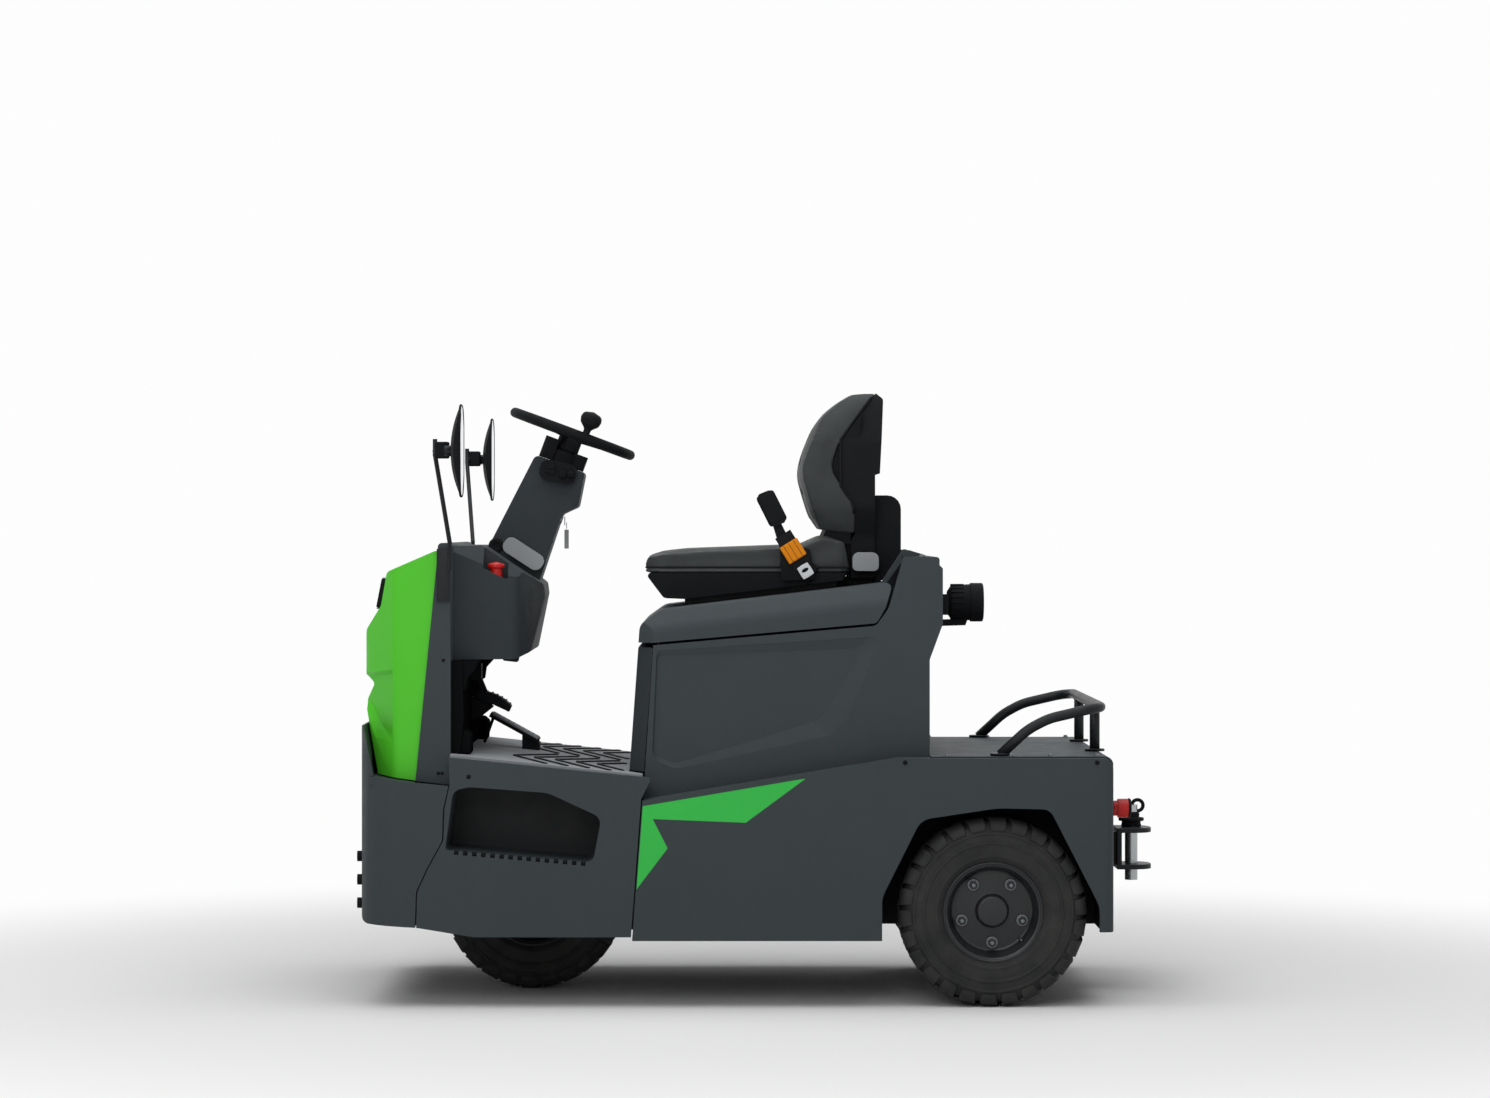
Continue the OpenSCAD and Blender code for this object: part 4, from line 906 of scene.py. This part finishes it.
def column_fittings():
    """Hub cap, knobs and rockers of the switch pods, and the column's pivots."""
    hub = Build()
    hub.lathe(on_column(0, 0, 1), COLUMN_UP, [(0, 30), (4, 30), (8, 26), (9, 20), (7.5, 18), (8, 0.5)], 40)
    hub.piece("wheel_hub_cap", "dash_grey", "steering_wheel", "trim_black", bevel=0.6)
    pod_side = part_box("switch_pod")[1].y
    mid = Vector((WHEEL_AT.x, pod_side, WHEEL_AT.z)) + mm(34, 0, -98)
    lean = tilt(-12)
    knobs = Build()
    for x, z, radius in ((-14, -4, 9), (-34, 0, 8)):
        at = mid + lean @ mm(x, 0, z)
        knobs.lathe(at, LEFT, [(-1, radius * 1.3), (2, radius * 1.3), (2.5, radius),
                               (10, radius * 0.9), (11.5, radius * 0.6)], 28)
        knobs.box(at + mm(0, 12, 0), (2.4, 2.4, radius * 1.6), lean)
    knobs.box(mid + lean @ mm(20, 2, 5), (26, 8, 24), lean)
    knobs.box(mid + lean @ mm(20, 6, 9), (20, 6, 10), lean)
    knobs.mirrored().piece("pod_switches", "trim_black", bevel=1.2)
    pivots = Build()
    pivot_at = Vector((0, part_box("column_cover")[1].y, 0)) + mm(667, -1, 1117)
    pivots.lathe(pivot_at, LEFT, [(0, 19), (4, 19), (6, 16), (6, 9), (4, 8), (4, 0.5)])
    pivots.mirrored().piece("column_pivots", "trim_black", bevel=0.6)


def ignition():
    """Lock with its key and ring, and the tag that hangs from them."""
    lock, tag = Build(), Build()
    at = on_column(-47, 18, -214)
    out = -COLUMN_AHEAD
    lock.lathe(at, out, [(-4, 12), (4, 12), (6, 10), (6, 0.5)], 28)
    lock.box(at + out * 12 * MM, (3, 2.2, 22))
    ring = at + out * 17 * MM + mm(0, 0, -10)
    lock.hoop(loop(ring, UP, LEFT, 8, 24), 0.8)
    lock.piece("ignition_key", "pin_steel", bevel=0.5)
    tag.box(ring + mm(0, 0, -34), (11, 3, 48))
    tag.piece("key_tag", "lever_grey", bevel=1)


def pedals():
    """Crowned brake pad on its arm, cover of the flat treadle, and the ribs on both."""
    pads, ribs, tread = Build(), Build(), Build()
    steps = 8
    # Pads: from and to, ahead of the cowl and over the floor, across, width, thickness, crown, rib count
    for x0, z0, x1, z1, y, width, thick, crown, count in (
            (-126, 93, -44, 131, 70, 66, 17, 9, 7), (-190, 4, -66, 72, -110, 74, 12, 0, 10)):
        run = Vector((x1 - x0, 0, z1 - z0))
        up = Vector((-run.z, 0, run.x)).normalized()
        turn = tilt(-math.degrees(math.atan2(run.z, run.x)))

        def on_pad(share):
            """Point along the pad's middle line, raised by its crown."""
            rise = crown * 4 * share * (1 - share)
            return COWL + mm(x0 + run.x * share, y, z0 + run.z * share) + up * rise * MM

        for i in range(count):
            at = on_pad((i + 0.5) / count) + up * (thick / 2 + 0.8) * MM
            ribs.box(at, (4.5, width - 8, 3), turn)
        if crown:
            ends = ((1, 1), (1, -1), (-1, -1), (-1, 1))
            corners = [LEFT * i * width / 2 + up * j * thick / 2 for i, j in ends]
            pads.rings([[on_pad(k / steps) + corner * MM for corner in corners] for k in range(steps + 1)])
        else:
            tread.box(on_pad(0.5) + up * (thick / 2 - 1) * MM, (run.length - 6, width + 1, 6), turn)
    tread.piece("treadle_pad", "mat", bevel=1.5)
    pads.prism(COWL, [(-22, 125), (-22, 63), (-57, 77), (-85, 99), (-67, 115)], 58, 82)
    pads.piece("brake_pedal_pad", "trim_black", bevel=3, segments=3)
    ribs.piece("pedal_ribs", "dash_grey", slot="trim_black", bevel=0.8)


def footwell():
    """Cheeks of the bulkhead, both in black with painted shade, and a lip in front of each switch pocket
    along the dash's side.
    """
    cheeks = Build()
    for rows in ([(-1, 224), (-67, 224), (-57, 202), (-39, 182), (-35, 152), (-1, 152)],
                 [(-1, 1), (-46, -3.5), (-48, 44), (-35, 55), (-1, 55)]):
        cheeks.prism(COWL, rows, 300, 410)
    cheeks.mirrored().piece("bulkhead_cheeks", "painted_shade_black", slot="trim_black", bevel=4, segments=3)
    # The bulkhead in the black with painted shade
    cover(NODES["footwell_bulkhead"].data, "painted_shade_black")

    def dash_side(x):
        """Distance across of the dash's slanted side."""
        return 300 + 45 * (x + 156) / 156

    lip = Build()
    rows = [(-131, 417), (-68, 417), (-68, 451.5), (-131, 420.5)]
    lip.rings([[COWL + mm(x, dash_side(x) - inward, z) for x, z in rows] for inward in (0.5, 7)])
    lip.mirrored().piece("switch_pocket_lips", "dash_grey", bevel=1.5)


column_fittings()
ignition()
pedals()
footwell()


# Wheel fittings

def wheel_fittings(name, centre, side, body):
    """Two rings, hub screws with their stud ends and valve on a rim's outer side, and black discs there:
    painted shade where the rim's holes are.
    """
    ring, studs, hole_shades = Build(), Build(), Build()
    out = LEFT * side
    face = centre + out * 18 * MM
    screw_circle = 77.5
    hole_circle = 80
    ring.hoop(loop(centre + out * (TYRE_W / 2 - 15) * MM, AHEAD, UP, 119, 96), 3.2)
    ring.hoop(loop(centre + out * 44 * MM, AHEAD, UP, 110, 96), 2)
    ring.piece(name + "_lock_ring", "rim", body)
    # The first of five screws is at the bottom, and the discs of painted hole shade are half a step on
    for c, s in circle(5, -1.25):
        at = face + mm(screw_circle * c, 0, screw_circle * s)
        studs.lathe(at, out, [(0, 15), (5, 15), (6, 13)], 28)
        studs.lathe(at + out * 16 * MM, out, [(0, 5.5), (7, 5.5), (8.5, 4)], 16)
    for c, s in circle(5, -0.75):
        hole_shades.lathe(face + mm(hole_circle * c, 0, hole_circle * s), out, [(-0.5, 7), (0.5, 7)], 20)
    valve = face + mm(-66, 0, -66)
    studs.tube([valve, valve + out * 20 * MM + mm(-6, 0, -6)], 3.5)
    studs.piece(name + "_studs", "bolt_steel", body, "rim")
    hole_shades.piece(name + "_holes", "trim_black", body)


wheel_fittings("front_wheel", FRONT_AXLE, 1, "front_wheel")
wheel_fittings("rear_left", REAR_AXLE_LEFT, 1, "rear_wheel_left")
wheel_fittings("rear_right", REAR_AXLE_RIGHT, -1, "rear_wheel_right")


# Backrest piping and recess borders

def backrest_piping():
    """Cord up each side along the seam between the padding and the shell."""
    tree = skin(backrest)
    step = 12 * MM
    reach = 600 * MM
    edge = {}
    for v in NODES["backrest_shell"].data.vertices:
        key = round(v.co.z / step)
        if v.co.y > 0 and (key not in edge or v.co.x > edge[key].x):
            edge[key] = v.co.copy()
    points = []
    for key in sorted(edge):
        p = edge[key]
        hit = tree.ray_cast(Vector((p.x + 4 * MM, reach, p.z)), -LEFT)[0]
        if hit:
            points.append(hit)
    trim = Build()
    trim.tube(points, 3, 8)
    trim.mirrored().piece("backrest_piping", "webbing", "hood", "seat_vinyl")


def filleted(rows, count=6):
    """Outline from rows of (across, up, corner radius)."""
    points = []
    n = len(rows)
    for i, (x, z, radius) in enumerate(rows):
        p = Vector((x, z))
        a = (Vector(rows[i - 1][:2]) - p).normalized()
        b = (Vector(rows[(i + 1) % n][:2]) - p).normalized()
        half = a.angle(b) / 2
        centre = p + (a + b).normalized() * radius / math.sin(half)
        start = p + a * radius / math.tan(half) - centre
        end = p + b * radius / math.tan(half) - centre
        for k in range(count + 1):
            points.append(centre + start.slerp(end, k / count) * radius)
    return points


def side_fields():
    """Sloping border inside the recess of each battery side panel."""
    panel = Vector((0, BOX_HI.y, 0))
    tower = BOX_LO.x / MM + 32
    seam = FLOOR_LO.x / MM
    # Corners: outer X, Z and radius, inner X, Z and radius
    rows = [
        (seam - 33, 861.5, 12, seam - 36, 851, 10), (tower + 116, 897, 16, tower + 161, 869, 14),
        (tower + 199, 699, 40, tower + 256, 712, 30), (tower + 240, 657, 40, tower + 280, 690, 30),
        (seam - 80, 575, 40, seam - 80, 588, 36), (seam - 22, 600, 30, seam - 26, 608, 26)]
    outer = filleted([row[:3] for row in rows])
    inner = filleted([row[3:] for row in rows])
    levels = [(outer, -0.3), (inner, -7.6), (inner, -8.4), (outer, -8.4), (outer, -0.3)]
    border = Build()
    border.rings([[panel + mm(x, y, z) for x, z in row] for row, y in levels], caps=False)
    border.mirrored().piece("side_fields", "body_grey")


backrest_piping()
side_fields()


# Fillers of the seat, painted shade in the tread's notches and behind the panel seams, mirror clamps, rack
# and cover

def seat_fillers():
    """Front of the backrest's shell up to the seam, gusset behind the cushion and foot under the pan."""
    corner = Vector((CUSHION_LO.x, 0, CUSHION_LO.z))
    seam = filleted([(-30, 398, 1), (28.5, 318, 60), (48.5, 256, 50), (-10, 171, 1)], 10)
    # Outline and half width of each filler
    fillers = (
        (seam, 222),
        (((-2, 2), (-0.5, 2), (13.5, 76), (11, 95), (-2, 95)), 190),
        (((-58, -25), (42, -36), (42, -14), (-58, -14)), 176),
        (((-2, 70), (56, 70), (66, 92), (56, 114), (-2, 114)), 200))
    shell = Build()
    for rows, half in fillers:
        shell.prism(corner, rows, -half, half)
    shell.piece("shell_front", "trim_black", "hood", bevel=1)


def tread_notch_shade():
    """Black boxes in the notches of the tread's edge: painted shade inside the notches."""
    turn = tilt(-math.degrees(math.atan2(31, 357)))
    corner = Vector((FLOOR_HI.x, FENDER_HI.y, 0)) + mm(10.3, -9.7, 383)
    pitch = 22
    shade_boxes = Build()
    for i in range(1, 16):
        shade_boxes.box(corner + turn @ mm(-(pitch * i + 5.5), 0, -4.3), (10.6, 17, 8.6), turn)
    shade_boxes.mirrored().piece("tread_notch_shade", "trim_black")


def seam_shade_strips():
    """Black strips behind the open ends of the side panels' seams: painted shade seen through the gaps."""
    strips = Build()
    for x, z in ((837, 220), (316, 210)):
        strips.box(FENDER_SIDE + mm(x, -30, z), (30, 5, 44))
    strips.mirrored().piece("seam_shade_strips", "trim_black", bevel=0.5)


def mirror_clamps():
    """Clamp between each mirror's arm and its head."""
    lo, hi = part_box("mirror_heads")
    clamp = Build()
    clamp.box(Vector((lo.x, hi.y, (lo.z + hi.z) / 2)) + mm(48, -99, 2), (34, 32, 40))
    clamp.mirrored().piece("mirror_clamps", "trim_black", bevel=4, segments=3)


def smooth_path(corners, trim, count=8):
    """Points along straight runs with a round bend at each inner corner."""
    path = [corners[0]]
    for before, corner, after in zip(corners, corners[1:], corners[2:]):
        start = corner + (before - corner).normalized() * trim
        end = corner + (after - corner).normalized() * trim
        for k in range(count + 1):
            t = k / count
            path.append(start.lerp(corner, t).lerp(corner.lerp(end, t), t))
    return path + [corners[-1]]


def rack():
    """Bent tube of the rack in one run, its uprights and its feet."""
    corner = Vector((DECK_LO.x, 0, DECK_HI.z))
    foot = 272
    bar = 24
    upright = 230
    rail = FENDER_HI.y / MM - 55
    radius = 12.5
    side = [corner + mm(x, y, z) for x, y, z in (
        (foot, rail, 2), (foot - 66, rail, 63), (foot - 117, rail, 90), (bar + 32, rail, 113),
        (bar, rail - 32, 117))]
    tubes = Build()
    tubes.tube(smooth_path(side + [opposite(p) for p in reversed(side)], 22 * MM), radius, 20)
    for y in (-upright, upright):
        tubes.tube([corner + mm(bar, y, z) for z in (1, 60, 116)], radius, 20)
    for x, y in ((foot, rail), (bar, upright)):
        for end in (-y, y):
            tubes.lathe(corner + mm(x, end, 0), UP, [(0.4, 24.5), (5.4, 24.5), (6.3, 23.5)], 36)
    piece = tubes.piece("rack_tubes", "frame_steel")
    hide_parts("luggage_rack")


def cover_scoops():
    """Green cover with a scoop cut in each corner facet."""
    obj = placed("cover_skin", NODES["front_cover"].data.copy())
    work = bmesh.new()
    work.from_mesh(obj.data)
    bmesh.ops.remove_doubles(work, verts=work.verts, dist=WELD)
    work.to_mesh(obj.data)
    work.free()
    corner = Vector((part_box("front_apron")[1].x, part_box("front_cowl")[1].y, 0))
    first = corner + mm(-4, -120, 0)
    along = (corner + mm(-82, -10, 0) - first).normalized()
    out = Vector((along.y, -along.x, 0))
    # Corners: along the facet, height at the skin, height at the ground, depth
    rows = [(-60, 802, 792, 17), (126, 817, 807, 9), (126, 640, 656, 9),
            (44, 650, 690, 13), (0, 714, 735, 16), (-60, 714, 735, 16)]
    ground = [first + (along * t - out * deep + UP * low) * MM for t, _, low, deep in rows]
    facet = [first + (along * t + out * 0.2 + UP * high) * MM for t, high, _, _ in rows]
    scoop = Build()
    scoop.rings([ground, facet, [p + out * 40 * MM for p in facet]])
    other = Build()
    other.add([opposite(v) for v in scoop.verts], scoop.faces)
    cutters = [placed("scoop", shape.mesh("scoop")) for shape in (scoop, other)]
    for cutter in cutters:
        cut = obj.modifiers.new("cut", "BOOLEAN")
        cut.operation = "DIFFERENCE"
        cut.solver = "EXACT"
        cut.object = cutter
    bake(obj)
    for cutter in cutters:
        bpy.data.objects.remove(cutter)
    dress(obj, "cover_green", 3)
    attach(obj, "chassis")
    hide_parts("front_cover")


seat_fillers()
tread_notch_shade()
seam_shade_strips()
mirror_clamps()
rack()
cover_scoops()


# Camera, floor and light

WHITE = 0.985


def set_camera():
    """Camera at the photograph's viewpoint; the sizes of its frame are in pixels."""
    frame_w = 1490
    focal = 4140
    centre = (745, 549)
    level = (727, 527)
    sensor = 36
    data = bpy.data.cameras.new("camera")
    data.sensor_width = sensor
    data.lens = sensor * focal / frame_w
    data.shift_x = (centre[0] - level[0]) / frame_w
    data.shift_y = (level[1] - centre[1]) / frame_w
    camera = placed("camera", data)
    camera.location = (0.0855, 10.5, 1.1638)
    camera.rotation_euler = (math.radians(90), 0, math.radians(180))
    bpy.context.scene.camera = camera


def set_floor():
    """Pale floor that keeps the shadow and fades into the backdrop away from the object."""
    reach = 60
    mesh = bpy.data.meshes.new("floor")
    corners = [(-reach, -reach, 0), (reach, -reach, 0), (reach, reach, 0), (-reach, reach, 0)]
    mesh.from_pydata(corners, [], [(0, 1, 2, 3)])
    ground = placed("floor", mesh)
    n = Nodes("floor")
    n.surface(Base_Color=(0.94, 0.94, 0.94, 1), Roughness=0.8, Specular_IOR_Level=0.1)
    length = n.add("ShaderNodeVectorMath", operation="LENGTH")
    n.link(n.place, length.inputs[0])
    fade = n.add("ShaderNodeMapRange", interpolation_type="SMOOTHSTEP", From_Min=1.25, From_Max=3.4)
    n.link(length.outputs["Value"], fade.inputs["Value"])
    glow = n.add("ShaderNodeEmission", Strength=WHITE)
    blend = n.add("ShaderNodeMixShader")
    n.link(fade.outputs["Result"], blend.inputs["Fac"])
    n.link(n.shader.outputs["BSDF"], blend.inputs[1])
    n.link(glow.outputs["Emission"], blend.inputs[2])
    n.link(blend.outputs["Shader"], n.tree.nodes["Material Output"].inputs["Surface"])
    cover(mesh, "floor")


def set_world():
    """Faint light from all round, and a white backdrop to the camera, to gloss and through glass."""
    world = bpy.data.worlds.new("studio")
    world.use_nodes = True
    bpy.context.scene.world = world
    nodes, links = world.node_tree.nodes, world.node_tree.links
    lit = nodes["Background"]
    lit.inputs["Color"].default_value = (1, 1, 1, 1)
    lit.inputs["Strength"].default_value = 0.1
    seen = nodes.new("ShaderNodeBackground")
    seen.inputs["Color"].default_value = (WHITE, WHITE, WHITE, 1)
    seen.inputs["Strength"].default_value = 1.0
    path = nodes.new("ShaderNodeLightPath")
    ray = path.outputs["Is Camera Ray"]
    for other in ("Is Glossy Ray", "Is Transmission Ray"):
        either = nodes.new("ShaderNodeMath")
        either.operation = "MAXIMUM"
        links.new(ray, either.inputs[0])
        links.new(path.outputs[other], either.inputs[1])
        ray = either.outputs[0]
    mix = nodes.new("ShaderNodeMixShader")
    links.new(ray, mix.inputs["Fac"])
    links.new(lit.outputs["Background"], mix.inputs[1])
    links.new(seen.outputs["Background"], mix.inputs[2])
    links.new(mix.outputs["Shader"], nodes["World Output"].inputs["Surface"])


def set_lamps():
    """Soft studio lamps: a large one overhead, a fill from the camera's side and one behind."""
    # Name, place, aimed at, size, watts
    lamps = [
        ("key", (0.4, 0.8, 5.2), (0, 0, 0.6), 6.0, 240),
        ("fill", (1.5, 7.0, 3.6), (0, 0, 0.7), 3.5, 112),
        ("back", (-3.0, -4.0, 3.5), (0, 0, 0.7), 3.0, 18),
    ]
    for name, place, aim, size, watts in lamps:
        data = bpy.data.lights.new(name, "AREA")
        data.size = size
        data.energy = watts
        lamp = placed(name, data)
        lamp.location = place
        lamp.rotation_euler = (Vector(aim) - Vector(place)).to_track_quat("-Z", "Y").to_euler()


bpy.context.scene.view_settings.view_transform = "Standard"
set_camera()
set_floor()
set_world()
set_lamps()
